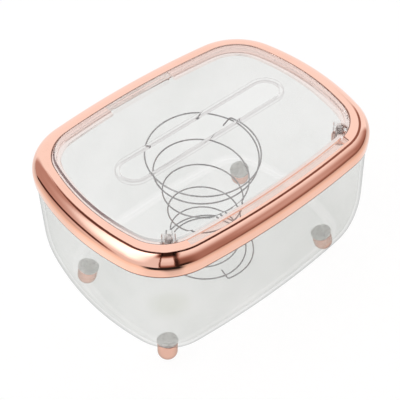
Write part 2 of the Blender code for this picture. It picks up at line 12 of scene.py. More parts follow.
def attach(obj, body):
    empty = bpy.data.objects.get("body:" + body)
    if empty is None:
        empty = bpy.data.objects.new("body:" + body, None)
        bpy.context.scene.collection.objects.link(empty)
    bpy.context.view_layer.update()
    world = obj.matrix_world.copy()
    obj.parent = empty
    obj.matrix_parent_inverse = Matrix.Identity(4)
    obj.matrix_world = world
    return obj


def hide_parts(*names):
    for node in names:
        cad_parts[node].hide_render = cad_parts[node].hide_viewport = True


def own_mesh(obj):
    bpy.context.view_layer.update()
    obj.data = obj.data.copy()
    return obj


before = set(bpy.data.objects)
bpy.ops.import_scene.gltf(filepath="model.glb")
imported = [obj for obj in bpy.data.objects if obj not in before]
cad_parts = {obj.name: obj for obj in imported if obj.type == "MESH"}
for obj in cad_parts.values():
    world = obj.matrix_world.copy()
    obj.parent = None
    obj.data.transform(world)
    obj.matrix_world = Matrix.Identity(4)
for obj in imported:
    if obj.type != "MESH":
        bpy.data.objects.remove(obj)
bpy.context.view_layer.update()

# Plan of the rim: a rectangle with round corners and bowed sides
HALF_LENGTH = 0.105
HALF_WIDTH = 0.0779
CORNER_RADIUS = 0.042
LONG_SIDE_BOW = 0.0032
SHORT_SIDE_BOW = 0.0041
CORNER_STEPS = 40
LONG_STEPS = 24
SHORT_STEPS = 16

# Heights and small sizes that several pieces share
UNDERSIDE_Z = 0.0140
RIM_Z = 0.1135
GAP = 0.0003
EDGE = 0.0005
WELD = 1e-5
EDGE_STEPS = 5
POST_STEPS = 48

# Clear tub
TUB_INSET = 0.0016
TUB_WALL = 0.0023
TUB_TOP_Z = RIM_Z + 0.0005
BASE_ROUND_WIDTH = 0.0280
BASE_ROUND_HEIGHT = 0.0495
BASE_ROUND_STEPS = 44
FLOOR_THICKNESS = 0.0024
FLOOR_TOP_Z = UNDERSIDE_Z + FLOOR_THICKNESS

# Plated rim
RIM_DROP = 0.0060
RIM_RISE = 0.0095
RIM_DEPTH = 0.0127
RIM_TUCK = 0.00035
RIM_FOOT_STEPS = 8
RIM_ROUND_STEPS = 30
RIM_LIP_STEPS = 6
SKIRT_WALL = 0.0013
INNER_SKIRT_WALL = 0.0016
LEDGE_Z = RIM_Z + 0.0055
LEDGE_THICKNESS = 0.0020
LEDGE_OUTER = 0.0136
LEDGE_INNER = 0.0188
LEDGE_NOTCH = 0.053
NOTCH_STANDOFF = 0.0006
FRONT_OPENING_OUTER = 0.0086
FRONT_OPENING_INNER = 0.0166
FRONT_OPENING_HALF = 0.0655

# Clear lid
PANEL_INSET = LEDGE_OUTER + GAP
PANEL_EDGE_Z = RIM_Z + 0.0080
PANEL_SHOULDER_Z = RIM_Z + 0.0115
SHOULDER_WIDTH = 0.0024
PANEL_CROWN_Z = RIM_Z + 0.0159
PANEL_WALL = 0.0022
LID_INNER_STEPS = 8
LID_SHOULDER_STEPS = 10
CROWN_CUTS = 11
SLOT_HALF_STRAIGHT = 0.0544
SLOT_RADIUS = 0.0094
SLOT_LIP_WIDTH = 0.0023
SLOT_LIP_HEIGHT = 0.0010
SLOT_LIP_STEPS = 6
LUG_THICKNESS = 0.0018
LUG_DROP = 0.0043
LUG_ROOT = 0.0012
LUG_STANDOFF = 0.0014
LUG_SIDE_GAP = 0.003
FRONT_LIP_LOW_Z = LEDGE_Z + 0.0006
FRONT_LIP_TOP_Z = PANEL_EDGE_Z - 0.0004

# Screw bosses under the lid's front corners, the rim's cupped tabs below them, and the screws
BOSS_X = 0.0713
BOSS_Y = -0.0519
BOSS_RADIUS = 0.00435
BOSS_BOTTOM_Z = RIM_Z - 0.0005
BOSS_TOP_Z = RIM_Z + 0.0103
BORE_TOP_Z = RIM_Z + 0.0084
TAB_RADIUS = 0.0052
TAB_HALF_WIDTH = 0.0040
TAB_REACH = 0.0140
TAB_BOTTOM_Z = RIM_Z - 0.0028
TAB_TOP_Z = BOSS_BOTTOM_Z + 0.0006
SCREW_RADIUS = 0.0024
SCREW_CORE = 0.0019
SCREW_PITCH = 0.0011
SCREW_TIP_Z = RIM_Z + 0.0077
SCREW_HEAD_RADIUS = 0.0040
SCREW_HEAD_HEIGHT = 0.0024
SCREW_TIP_RADIUS = SCREW_CORE * 0.8
SCREW_THREAD = ((SCREW_RADIUS, 0.0), (SCREW_RADIUS, 0.2), (SCREW_CORE, 0.55), (SCREW_CORE, 0.75))
SCREW_STEPS = 40
CROSS_HALF_LENGTH = SCREW_HEAD_RADIUS * 0.6
CROSS_HALF_WIDTH = SCREW_HEAD_RADIUS * 0.11
OVERCUT = 0.002

# Feet
FOOT_X = 0.0711
FOOT_Y = 0.0430
FOOT_RADIUS = 0.0068
FOOT_FLAT_DEPTH = 0.00035
FOOT_SPLAY = math.radians(12)
FOOT_TURN = math.radians(40)
PAD_THICKNESS = 0.0006
FOOT_STEPS = 56
FOOT_BALL_STEPS = 20

# Hourglass spring
WIRE_DIAMETER = 0.0010
WIRE_LIFT = 0.0019
SPRING_TOP_Z = RIM_Z - 0.0060
SPRING_BOTTOM_Z = FLOOR_TOP_Z + GAP + WIRE_DIAMETER / 2
TOP_RADIUS = 0.0376
WAIST_RADIUS = 0.0240
BASE_RADIUS = 0.0298
BOTTOM_RADIUS = 0.0348
WAIST_PLACE = 0.73
TOP_FLARE = 2.3
BOTTOM_FLARE = 3.0
WORKING_TURNS = 5.336
BOTTOM_RAMP = 0.24
TOP_END_ANGLE = math.radians(18)
COIL_TILT = 0.0023
COIL_TILT_ANGLE = math.radians(88)
TILT_ENDS_AT = 5.0
CLOSING_TURNS = 0.15
SPREADING_TURNS = 0.45
TAIL_LENGTH = 0.0075
TAIL_BEND = 0.0015
POINTS_PER_TURN = 72
WIRE_ROUNDNESS = 4

# Camera, and the level directions towards it and to its right
CAMERA_PLACE = Vector((-0.3390, -0.4072, 0.6106))
CAMERA_RIGHT = Vector((0.7550, -0.6552, -0.0253))
CAMERA_UP = Vector((0.4840, 0.5308, 0.6957))
CAMERA_BACK = Vector((-0.4424, -0.5375, 0.7179))
CAMERA_LENS = 101.97
CAMERA_SENSOR = 36
TOWARDS_CAMERA = (-0.6355, -0.7721, 0.0)
TO_THE_RIGHT = (0.7721, -0.6355, 0.0)
RIM_FRONT_REACH = 0.104

# Colours of the studio's light
WHITE = (1.0, 1.0, 1.0, 1.0)
WARM_DIM = (1.0, 0.50, 0.38, 1.0)
WARM_FLOOR = (1.0, 0.86, 0.76, 1.0)
NEAR_FLOOR = (1.0, 0.95, 0.91, 1.0)
FLOOR_PAINT = (0.88, 0.88, 0.875, 1)

# Colours of the finishes, with some painted highlights and shade
TUB_CLEAR = (0.904, 0.911, 0.904, 1)
TUB_HAZED = (0.854, 0.864, 0.854, 1)
TUB_CLOUD = (0.80, 0.81, 0.76, 1)
TUB_CREASE_SHADING = (0.91, 0.915, 0.91, 1)
TUB_EDGE_ON = (0.60, 0.615, 0.61, 1)
LID_CLEAR = (0.974, 0.977, 0.975, 1)
LID_HAZED = (0.958, 0.962, 0.960, 1)
LID_EDGE_HIGHLIGHT = (1.0, 0.975, 0.965, 1)
SLOT_LINE = (0.80, 0.775, 0.78, 1)
SHOULDER_SHADE = (0.11, 0.075, 0.08, 1)
FRONT_LIP = (0.98, 0.76, 0.69, 1)
BORE_THREAD = (0.34, 0.24, 0.22, 1)
BOSS_EDGE = (0.42, 0.36, 0.36, 1)
GOLD_BRIGHT = (0.975, 0.615, 0.500, 1)
GOLD_DEEP = (0.955, 0.590, 0.472, 1)
GOLD_PAINTED_SHEEN = (0.98, 0.88, 0.85, 1)
GOLD_JOINT_SHADE = (0.42, 0.25, 0.20, 1)
GOLD_FOOT_SHADE = (0.12, 0.060, 0.045, 1)
GOLD_CUP = (0.60, 0.47, 0.43, 1)
FOOT_BRIGHT = (0.79725, 0.50925, 0.419, 1)
FOOT_DEEP = (0.78625, 0.4955, 0.4036, 1)
FOOT_EDGE_SHADE = (0.44, 0.28, 0.23, 1)
WIRE_BRIGHT = (0.40, 0.40, 0.405, 1)
WIRE_DULL = (0.26, 0.26, 0.265, 1)
ZINC_BRIGHT = (0.60, 0.56, 0.55, 1)
ZINC_DULL = (0.28, 0.25, 0.24, 1)
PAD_SIDE = (0.94, 0.935, 0.925, 1)
PAD_TOP = (0.84, 0.84, 0.83, 1)
PAD_MOTTLE = (0.52, 0.52, 0.515, 1)

# Marks in the finishes: where a change starts and ends, then its levels, or the four steps of a band
SMUDGE_NOISE = (0.38, 0.72)
INWARD_LEAN = (-0.022, -0.006)
OUTWARD_LEAN = (-0.001, 0.001)
GATE_PLACE = (-0.0835, -0.0640, 0.0800)
GATE_CLOUD = (0.004, 0.018, 0.6)
# Painted crease shading just above the tub's floor
CREASE_SHADING_BAND = (0.0002, 0.0004, 0.0006, 0.0010)
CREASE_SHADING_SHARE = 0.5
# Painted glint above the tub's floor
PAINTED_FLOOR_GLINT = (0.0014, 0.0020, 0.0034, 0.0048)
PAINTED_GLINT_SHARE = 0.7
TUB_TURNED_AWAY = (0.66, 1.0)
SHOULDER_SHADE_START = 0.0015
SHOULDER_SHADE_FULL = 0.0021
SHOULDER_SLOPE = (0.1, 0.25, 0.84, 0.90)
SHOULDER_LEFT = (-0.085, -0.05, 1.0, 0.25)
SHOULDER_REAR = (-0.045, -0.01, 0.45, 1.0)
FRONT_LIP_SHARE = 0.8
THREAD_TURN = (0.1, 0.25, 0.55, 0.7)
THREAD_SHARE = 0.8
BOSS_TURNED_AWAY = (0.3, 0.9)
LEDGE_SLOPE = (0.9, 0.98)
SATIN_ROUGHNESS = 0.1
JOINT_SHADE_START = 0.0082
JOINT_SHADE_FULL = 0.0085
FOOT_SHADE_FULL = 0.0010
FOOT_SHADE_END = 0.0016
FOOT_SHADE_SHARE = 0.9
CUP_SHARE = 0.8
FOOT_TURNED_AWAY = (0.25, 0.9)
PAD_SLOPE = (0.3, 0.85)

# Studio floor, as mirrors see it: reaches in metres, turns in degrees to the right of the camera
FLOOR_SIZE = 8
FLOOR_WHITE = 1.04
FLOOR_GLOW_SHARE = 0.9
FLOOR_FADE = (0.16, 0.9, 0.95, 0.68)
FLOOR_LEFT_TURN = (-86, -66, -40, -22)
FLOOR_LEFT_LIGHT = 0.2
FLOOR_BEHIND_TURN = (122, 140)
WHITE_FLOOR_TURN = (92, 120)
NEAR_FLOOR_REACH = (0.14, 0.36)
FAR_SHADE_TURN = (-42, -26, 16, 30)
FAR_SHADE_REACH = (0.18, 0.27, 0.0, 0.97)
NEAR_SHADE_TURN = (-24, -6, 12, 28)
NEAR_SHADE_REACH = (0.04, 0.2, 0.0, 0.7)

# Studio room, as mirrors see it: turns and rises in degrees, the rest in shares of a direction
TINT_LEVEL = (0.15, 1.05)
RIGHT_ROOM_FADE = (0.1, 1.25, 1.05, 0.40)
NEAR_WALL_TURN = (28, 58, 0.42)
NEAR_WALL_RISE = (30, 62)
WINDOW_TURN = (60, 70, 78, 92)
WINDOW_RISE = (10, 20, 30, 42)
WINDOW_LIGHT = 0.2
LEFT_ROOM_FADE = (-112, -70, 0.50, 0.84)
LEFT_WINDOW_TURN = (-125, -105, -80, -60)
LEFT_WINDOW_RISE = (24, 50, 0.0, 0.3)
ROOM_MIDDLE = (-12, 8)
PATCH_SIDE = (-0.155, -0.14, 0.20, 0.24)
PATCH_LOW_RISE = (-2, 28, 0.12, 0.80)
PATCH_HIGH_RISE = (30, 50, 0.0, 0.12)
SOFT_BOX_TURN = (-136, -118, -62, -24)
SOFT_BOX_RISE = (14, 42)
SOFT_BOX_CORNER = 62.0
SOFT_BOX_SLOPE = 0.5
LEFT_STAND = (-0.19, -0.165, -0.145, -0.12)
RIGHT_STAND = (0.18, 0.24, 0.28, 0.38)
STAND_RISE = (-4, 6, 0.0, 0.85)
CORNER_TURN = (10, 16, 28, 46)
CORNER_RISE = (9, 22, 0.85)
LEFT_SKIRTING_TURN = (-126, -112, -76, -62)
LEFT_SKIRTING_RISE = (8, 13, 19, 24)
LEFT_SKIRTING_MIDDLE = 88.0
LEFT_SKIRTING_BOW = 0.03
LEFT_SKIRTING_SHARE = 0.9
RIGHT_SKIRTING_TURN = (50, 62, 108, 124)
RIGHT_SKIRTING_RISE = (4, 12, 0.45)

# Backdrop, its seam and the dark overhead
SIDE_LEVEL = 0.7
ROOM_TILT = 1.95
SEAM_TILT = (-0.1, 0.15, 1.95, 1.25)
SEAM_LINE = (-0.10, -0.06, 0.05, 0.09)
SEAM_TURN = (-141, -134, 146, 160)
SEAM_RISE = (44, 74, 0.75, 1.0)
ABOVE_SIDE = (-0.42, -0.17, 0.26, 0.46)
ABOVE_RISE = (58, 77)
ABOVE_SEAM = (-0.08, -0.04)
OVERHEAD_SHARE = 0.96
BACKDROP_MIDDLE = 4.0
BACKDROP_TURN = (127, 135)
BACKDROP_SEAM = (-0.09, -0.05)
BACKDROP_WHITE = 1.03


# Modelling helpers
def start_fresh():
    """Leave edit mode and select nothing, so that the next operator acts on the new piece alone."""
    if bpy.context.object and bpy.context.object.mode != "OBJECT":
        bpy.ops.object.mode_set(mode="OBJECT")
    bpy.ops.object.select_all(action="DESELECT")


def make_active(piece):
    """Select one piece alone and make it the active one."""
    start_fresh()
    piece.select_set(True)
    bpy.context.view_layer.objects.active = piece


def settle():
    """Put the active piece's place, turn and scale into its mesh."""
    bpy.ops.object.transform_apply(location=True, rotation=True, scale=True)


def draw_section(name, points):
    """A new piece in edit mode: one vertex, extruded from point to point along a section."""
    start_fresh()
    bpy.ops.mesh.primitive_plane_add(size=EDGE, location=points[0])
    piece = bpy.context.object
    piece.name = name
    piece.data.name = name
    settle()
    bpy.ops.object.mode_set(mode="EDIT")
    bpy.ops.mesh.select_mode(type="VERT")
    bpy.ops.mesh.select_all(action="SELECT")
    bpy.ops.mesh.merge(type="CENTER")
    for before, after in zip(points, points[1:]):
        step = Vector(after) - Vector(before)
        bpy.ops.mesh.extrude_vertices_move(TRANSFORM_OT_translate={"value": step})
    bpy.ops.mesh.select_all(action="SELECT")
    return piece


def spin_on(centre, turn, steps):
    """Carry the selected section on round an upright axis, counter-clockwise from above."""
    bpy.ops.mesh.spin(steps=steps, angle=-turn, center=(centre[0], centre[1], 0), axis=(0, 0, 1))


def close_up():
    """Weld the seams of a finished sweep, turn its faces outwards and leave edit mode."""
    bpy.ops.mesh.select_all(action="SELECT")
    bpy.ops.mesh.remove_doubles(threshold=WELD)
    bpy.ops.mesh.normals_make_consistent(inside=False)
    bpy.ops.object.mode_set(mode="OBJECT")


def fill_and_close():
    """Weld a sweep round the plan, fill the openings that it leaves, and finish it."""
    bpy.ops.mesh.select_all(action="SELECT")
    bpy.ops.mesh.remove_doubles(threshold=WELD)
    bpy.ops.mesh.fill_holes(sides=0)
    close_up()


def plan_turns():
    """The plan's arcs from the middle of the +X side, counter-clockwise: centre, turn and steps."""
    core_x = HALF_LENGTH - CORNER_RADIUS - SHORT_SIDE_BOW
    core_y = HALF_WIDTH - CORNER_RADIUS - LONG_SIDE_BOW
    long_radius = (core_x**2 + LONG_SIDE_BOW**2) / (2 * LONG_SIDE_BOW)
    short_radius = (core_y**2 + SHORT_SIDE_BOW**2) / (2 * SHORT_SIDE_BOW)
    long_tilt = math.asin(core_x / long_radius)
    short_tilt = math.asin(core_y / short_radius)
    end = HALF_LENGTH - CORNER_RADIUS - short_radius
    side = HALF_WIDTH - CORNER_RADIUS - long_radius
    corner = math.pi / 2 - long_tilt - short_tilt
    return [
        ((end, 0), short_tilt, SHORT_STEPS // 2),
        ((core_x, core_y), corner, CORNER_STEPS),
        ((0, side), 2 * long_tilt, LONG_STEPS),
        ((-core_x, core_y), corner, CORNER_STEPS),
        ((-end, 0), 2 * short_tilt, SHORT_STEPS),
        ((-core_x, -core_y), corner, CORNER_STEPS),
        ((0, -side), 2 * long_tilt, LONG_STEPS),
        ((core_x, -core_y), corner, CORNER_STEPS),
        ((end, 0), short_tilt, SHORT_STEPS // 2),
    ]


def sweep_round_plan(name, section):
    """A section of (inset, height) carried once round the plan. The piece stays in edit mode."""
    piece = draw_section(name, [(HALF_LENGTH - inset, 0, z) for inset, z in section])
    for centre, turn, steps in plan_turns():
        spin_on(centre, turn, steps)
    return piece


def quarter(centre, reach, start, steps):
    """Points on a quarter ellipse of (inset, height), turning up from a start angle in degrees."""
    points = []
    for step in range(steps + 1):
        turn = math.radians(start + 90 * step / steps)
        points.append((centre[0] + reach[0] * math.cos(turn), centre[1] + reach[1] * math.sin(turn)))
    return points


def post(name, x, y, radius, low, high):
    """An upright round bar between two heights."""
    start_fresh()
    bpy.ops.mesh.primitive_cylinder_add(
        vertices=POST_STEPS, radius=radius, depth=high - low, location=(x, y, (low + high) / 2)
    )
    made = bpy.context.object
    made.name = name
    settle()
    return made


def block(name, low, high):
    """A box between two corners."""
    start_fresh()
    middle = (Vector(low) + Vector(high)) / 2
    bpy.ops.mesh.primitive_cube_add(size=1, location=middle, scale=Vector(high) - Vector(low))
    made = bpy.context.object
    made.name = name
    settle()
    return made


def combine(piece, other, operation):
    """Join a helper to a piece, or cut it away, and delete the helper."""
    make_active(piece)
    step = piece.modifiers.new(other.name, "BOOLEAN")
    step.operation = operation
    step.object = other
    step.solver = "EXACT"
    bpy.ops.object.modifier_apply(modifier=step.name)
    bpy.data.objects.remove(other, do_unlink=True)


def dress(piece, finish, body, slot, *nodes, angle=35):
    """Give a finished piece its shading, finish and body, and hide the CAD nodes it stands for."""
    make_active(piece)
    bpy.ops.object.shade_smooth_by_angle(angle=math.radians(angle))
    piece.data.materials.clear()
    piece.data.materials.append(finish)
    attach(piece, body)
    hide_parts(*nodes)


def plan_slab(name, inset, low, high):
    """A plate of the plan's shape, drawn in by an inset, between two heights."""
    slab = sweep_round_plan(name, [(inset, low), (inset, high)])
    fill_and_close()
    return slab


def front_strip(name, outer, inner, half, low, high):
    """A strip along the front of the plan, between two insets and two heights."""
    strip = plan_slab(name, outer, low, high)
    combine(strip, plan_slab("strip_inside", inner, low - OVERCUT, high + OVERCUT), "DIFFERENCE")
    ends = block("strip_ends", (-half, -HALF_WIDTH, low - OVERCUT), (half, 0, high + OVERCUT))
    combine(strip, ends, "INTERSECT")
    return strip


# Clear tub
def tub_section():
    """Up the outside from the floor, over the rounded edge, and down the inside to the floor."""
    middle = (TUB_INSET + BASE_ROUND_WIDTH, UNDERSIDE_Z + BASE_ROUND_HEIGHT)
    outer_reach = (-BASE_ROUND_WIDTH, BASE_ROUND_HEIGHT)
    inner_reach = (FLOOR_THICKNESS - BASE_ROUND_WIDTH, BASE_ROUND_HEIGHT - FLOOR_THICKNESS)
    outside = quarter(middle, outer_reach, -90, BASE_ROUND_STEPS)
    inside = quarter(middle, inner_reach, -90, BASE_ROUND_STEPS)
    top = TUB_TOP_Z - EDGE
    inner = TUB_INSET + TUB_WALL
    edge = quarter((TUB_INSET + EDGE, top), (-EDGE, EDGE), 0, EDGE_STEPS)
    edge += quarter((inner - EDGE, top), (EDGE, EDGE), 0, EDGE_STEPS)[::-1]
    outer_support = [(TUB_INSET, middle[1] + EDGE), (TUB_INSET, top - EDGE)]
    inner_support = [(inner, top - EDGE), (inside[-1][0], middle[1] + EDGE)]
    return outside + outer_support + edge + inner_support + inside[::-1]


def make_tub(clear):
    """The tub: its wall swept round the plan, and its floor closed inside and out with a narrow border."""
    tub = sweep_round_plan("clear_tub", tub_section())
    fill_and_close()
    bpy.ops.object.mode_set(mode="EDIT")
    bpy.ops.mesh.select_mode(type="FACE")
    bpy.ops.mesh.select_all(action="DESELECT")
    bpy.ops.mesh.select_face_by_sides(number=LONG_STEPS, type="GREATER")
    bpy.ops.mesh.inset(thickness=EDGE, depth=0, use_individual=True)
    bpy.ops.mesh.select_mode(type="VERT")
    close_up()
    dress(tub, clear, "tub", "clear_plastic", "tub")


# Plated rim
def rim_section():
    """Round the rim's section: rounded outside, inner edge, ledge and the channel for the tub."""
    top = RIM_Z + RIM_RISE
    low = RIM_Z - RIM_DROP
    inner_edge = LEDGE_OUTER - RIM_DEPTH
    skirt_outer = TUB_INSET + TUB_WALL + GAP
    skirt_inner = skirt_outer + INNER_SKIRT_WALL
    skirt_low = low + EDGE
    ceiling = TUB_TOP_Z + GAP
    ledge_low = LEDGE_Z - LEDGE_THICKNESS
    below = quarter((RIM_TUCK, RIM_Z), (-RIM_TUCK, RIM_DROP - GAP), -90, RIM_FOOT_STEPS)
    above = quarter((RIM_DEPTH, RIM_Z), (-RIM_DEPTH, RIM_RISE), 0, RIM_ROUND_STEPS)
    turn_in = quarter((RIM_DEPTH, top - inner_edge), (inner_edge, inner_edge), 0, RIM_LIP_STEPS)
    section = [(RIM_TUCK + GAP, low)] + below + above[1:] + turn_in[::-1][1:]
    section += [(LEDGE_OUTER, LEDGE_Z), (LEDGE_INNER - GAP, LEDGE_Z), (LEDGE_INNER, LEDGE_Z - GAP)]
    section += [(LEDGE_INNER, ledge_low), (skirt_inner, ledge_low), (skirt_inner, skirt_low)]
    section += [(skirt_outer, skirt_low), (skirt_outer, ceiling)]
    section += [(SKIRT_WALL, ceiling), (SKIRT_WALL, low)]
    return section + section[:1]


def add_tab(rim, side):
    """A cupped tab under one boss, with its pocket and its screw hole."""
    x = side * BOSS_X
    core_x = HALF_LENGTH - CORNER_RADIUS
    core_y = HALF_WIDTH - CORNER_RADIUS
    outward = math.atan2(-BOSS_Y - core_y, BOSS_X - core_x)
    combine(rim, post("tab", x, BOSS_Y, TAB_RADIUS, TAB_BOTTOM_Z, TAB_TOP_Z), "UNION")
    web = block("web", (0, -TAB_HALF_WIDTH, TAB_BOTTOM_Z), (TAB_REACH, TAB_HALF_WIDTH, TAB_TOP_Z))
    turn = -outward if side > 0 else math.pi + outward
    web.matrix_world = Matrix.Translation((x, BOSS_Y, 0)) @ Matrix.Rotation(turn, 4, "Z")
    make_active(web)
    settle()
    combine(rim, web, "UNION")
    pocket = post("pocket", x, BOSS_Y, BOSS_RADIUS + GAP, BOSS_BOTTOM_Z - GAP, LEDGE_Z + OVERCUT)
    combine(rim, pocket, "DIFFERENCE")
    hole = post("hole", x, BOSS_Y, SCREW_RADIUS + GAP, TAB_BOTTOM_Z - OVERCUT, LEDGE_Z)
    combine(rim, hole, "DIFFERENCE")


def cut_notch(rim):
    """The notch in the rear ledge."""
    half = LEDGE_NOTCH / 2
    near = HALF_WIDTH - LEDGE_INNER - OVERCUT
    far = HALF_WIDTH - LEDGE_OUTER - NOTCH_STANDOFF
    low = LEDGE_Z - LEDGE_THICKNESS - OVERCUT
    notch = block("notch", (-half, near, low), (half, far, LEDGE_Z + OVERCUT))
    combine(rim, notch, "DIFFERENCE")


def cut_front_opening(rim):
    """The long opening along the front, which leaves a bar of the ledge on its inner side."""
    low = LEDGE_Z - LEDGE_THICKNESS - OVERCUT
    high = RIM_Z + RIM_RISE + OVERCUT
    opening = front_strip(
        "opening", FRONT_OPENING_OUTER, FRONT_OPENING_INNER, FRONT_OPENING_HALF, low, high
    )
    combine(rim, opening, "DIFFERENCE")


def make_rim(plated):
    """The plated rim, swept round the plan, with its tabs, its notch and its front opening."""
    rim = sweep_round_plan("plated_rim", rim_section())
    close_up()
    for side in (-1, 1):
        add_tab(rim, side)
    cut_notch(rim)
    cut_front_opening(rim)
    dress(rim, plated, "cover", "rose_gold", "rim_ring")


# Clear lid
def lid_edge_section():
    """Round the lid's edge, from its underside, down and out, and up over the shoulder."""
    seat = LEDGE_Z + GAP
    inside = PANEL_INSET + PANEL_WALL
    under = PANEL_SHOULDER_Z - PANEL_WALL
    inner = quarter((inside + SHOULDER_WIDTH, seat), (-SHOULDER_WIDTH, under - seat), 0, LID_INNER_STEPS)
    outer_middle = (PANEL_INSET + SHOULDER_WIDTH, PANEL_EDGE_Z)
    outer_reach = (-SHOULDER_WIDTH, PANEL_SHOULDER_Z - PANEL_EDGE_Z)
    outer = quarter(outer_middle, outer_reach, 0, LID_SHOULDER_STEPS)
    return inner[::-1] + [(PANEL_INSET + GAP, seat), (PANEL_INSET, seat + GAP)] + outer


def slot_section():
    """(distance from the slot's middle line, height) over the raised lip and down to the underside."""
    half = SLOT_LIP_WIDTH / 2
    middle = (SLOT_RADIUS + half, PANEL_CROWN_Z)
    reach = (half, SLOT_LIP_HEIGHT)
    lip = quarter(middle, reach, 0, SLOT_LIP_STEPS) + quarter(middle, reach, 90, SLOT_LIP_STEPS)[1:]
    low = PANEL_CROWN_Z - PANEL_WALL
    round_under = quarter((SLOT_RADIUS + EDGE, low + EDGE), (EDGE, EDGE), 180, EDGE_STEPS)
    return lip + round_under


def sweep_round_slot(name, section):
    """A section carried once round the slot. The piece stays in edit mode."""
    piece = draw_section(name, [(0, -reach, z) for reach, z in section])
    half_steps = LONG_STEPS // 2
    end_steps = 2 * CORNER_STEPS + SHORT_STEPS
    step = SLOT_HALF_STRAIGHT / half_steps
    bpy.ops.mesh.extrude_repeat(steps=half_steps, offset=(step, 0, 0))
    spin_on((SLOT_HALF_STRAIGHT, 0), math.pi, end_steps)
    bpy.ops.mesh.extrude_repeat(steps=LONG_STEPS, offset=(-step, 0, 0))
    spin_on((-SLOT_HALF_STRAIGHT, 0), math.pi, end_steps)
    bpy.ops.mesh.extrude_repeat(steps=half_steps, offset=(step, 0, 0))
    return piece


def select_points(piece, chosen):
    """Select the vertices of a piece in edit mode that a test picks."""
    bpy.ops.mesh.select_mode(type="VERT")
    bpy.ops.mesh.select_all(action="DESELECT")
    bpy.ops.object.mode_set(mode="OBJECT")
    for point in piece.data.vertices:
        point.select = chosen(point)
    bpy.ops.object.mode_set(mode="EDIT")


def open_rims(piece, heights):
    """The numbers of a piece's open-edge vertices at any of some heights."""
    bpy.ops.mesh.select_mode(type="VERT")
    bpy.ops.mesh.select_non_manifold(
        extend=False, use_wire=False, use_multi_face=False, use_non_contiguous=False, use_verts=False
    )
    bpy.ops.object.mode_set(mode="OBJECT")
    found = set()
    for point in piece.data.vertices:
        if point.select and min(abs(point.co.z - z) for z in heights) < WELD:
            found.add(point.index)
    bpy.ops.object.mode_set(mode="EDIT")
    return found


def bridge_crown(lid, edge_z, slot_z):
    """Join the lid's edge to the slot's lip by rings that rise along a smooth crown."""
    rims = open_rims(lid, (edge_z, slot_z))
    select_points(lid, lambda point: point.index in rims)
    old_count = len(lid.data.vertices)
    bpy.ops.mesh.bridge_edge_loops(number_cuts=CROWN_CUTS, interpolation="LINEAR")
    rise = slot_z - edge_z
    for ring in range(CROWN_CUTS, 0, -1):
        share = ring / (CROWN_CUTS + 1)
        level = edge_z + rise * share
        select_points(lid, lambda point: point.index >= old_count and abs(point.co.z - level) < WELD)
        bpy.ops.transform.translate(value=(0, 0, rise * share * (1 - share)))


def add_lug(lid):
    """The lug that drops through the ledge's notch."""
    half = LEDGE_NOTCH / 2 - LUG_SIDE_GAP
    far = HALF_WIDTH - LEDGE_OUTER - LUG_STANDOFF
    near = far - LUG_THICKNESS
    lug = block("lug", (-half, near, LEDGE_Z - LUG_DROP), (half, far, LEDGE_Z + LUG_ROOT))
    combine(lid, lug, "UNION")


def add_front_lip(lid):
    """The clear lip that lies in the rim's front opening."""
    outer = FRONT_OPENING_OUTER + GAP
    inner = PANEL_INSET + PANEL_WALL / 2
    lip = front_strip("lip", outer, inner, FRONT_OPENING_HALF - GAP, FRONT_LIP_LOW_Z, FRONT_LIP_TOP_Z)
    combine(lid, lip, "UNION")


def make_lid(clear):
    """The clear crowned lid with its lipped slot, bored bosses, snap lug and front lip."""
    lid = sweep_round_plan("clear_lid", lid_edge_section())
    close_up()
    lip = sweep_round_slot("slot_lip", slot_section())
    close_up()
    make_active(lid)
    lip.select_set(True)
    bpy.ops.object.join()
    bpy.ops.object.mode_set(mode="EDIT")
    bridge_crown(lid, PANEL_SHOULDER_Z, PANEL_CROWN_Z)
    bridge_crown(lid, PANEL_SHOULDER_Z - PANEL_WALL, PANEL_CROWN_Z - PANEL_WALL)
    close_up()
    for side in (-1, 1):
        boss = post("boss", side * BOSS_X, BOSS_Y, BOSS_RADIUS, BOSS_BOTTOM_Z, BOSS_TOP_Z)
        combine(lid, boss, "UNION")
    add_lug(lid)
    add_front_lip(lid)
    for side in (-1, 1):
        low = BOSS_BOTTOM_Z - OVERCUT
        bore = post("bore", side * BOSS_X, BOSS_Y, SCREW_RADIUS + GAP, low, BORE_TOP_Z)
        combine(lid, bore, "DIFFERENCE")
    dress(lid, clear, "cover", "clear_plastic", "lid_panel", angle=30)


# Screws
def screw_section():
    """Down a screw from its tip: a threaded shank and a plain round head."""
    head_top = TAB_BOTTOM_Z - GAP
    head_low = head_top - SCREW_HEAD_HEIGHT
    section = [(0, SCREW_TIP_Z), (SCREW_TIP_RADIUS, SCREW_TIP_Z), (SCREW_CORE, SCREW_TIP_Z - EDGE)]
    z = SCREW_TIP_Z - 2 * EDGE
    while z - SCREW_PITCH > head_top:
        section += [(radius, z - SCREW_PITCH * share) for radius, share in SCREW_THREAD]
        z -= SCREW_PITCH
    section += [(SCREW_CORE, head_top), (SCREW_HEAD_RADIUS, head_top)]
    section += [(SCREW_HEAD_RADIUS, head_low + EDGE), (SCREW_HEAD_RADIUS - EDGE, head_low)]
    return section + [(0, head_low)]


def make_screws(steel):
    """Two screws, turned from one section, each with a crossed slot in its head."""
    head_low = TAB_BOTTOM_Z - GAP - SCREW_HEAD_HEIGHT
    arms = ((CROSS_HALF_LENGTH, CROSS_HALF_WIDTH), (CROSS_HALF_WIDTH, CROSS_HALF_LENGTH))
    for name, side in (("left", -1), ("right", 1)):
        screw = draw_section("screw_" + name, [(radius, 0, z) for radius, z in screw_section()])
        spin_on((0, 0), 2 * math.pi, SCREW_STEPS)
        close_up()
        for half_x, half_y in arms:
            low = (-half_x, -half_y, head_low - OVERCUT)
            high = (half_x, half_y, head_low + SCREW_CORE / 2)
            combine(screw, block("slot", low, high), "DIFFERENCE")
        screw.location = (side * BOSS_X, BOSS_Y, 0)
        make_active(screw)
        settle()
        dress(screw, steel, "cover", "steel", "lid_screw_" + name)


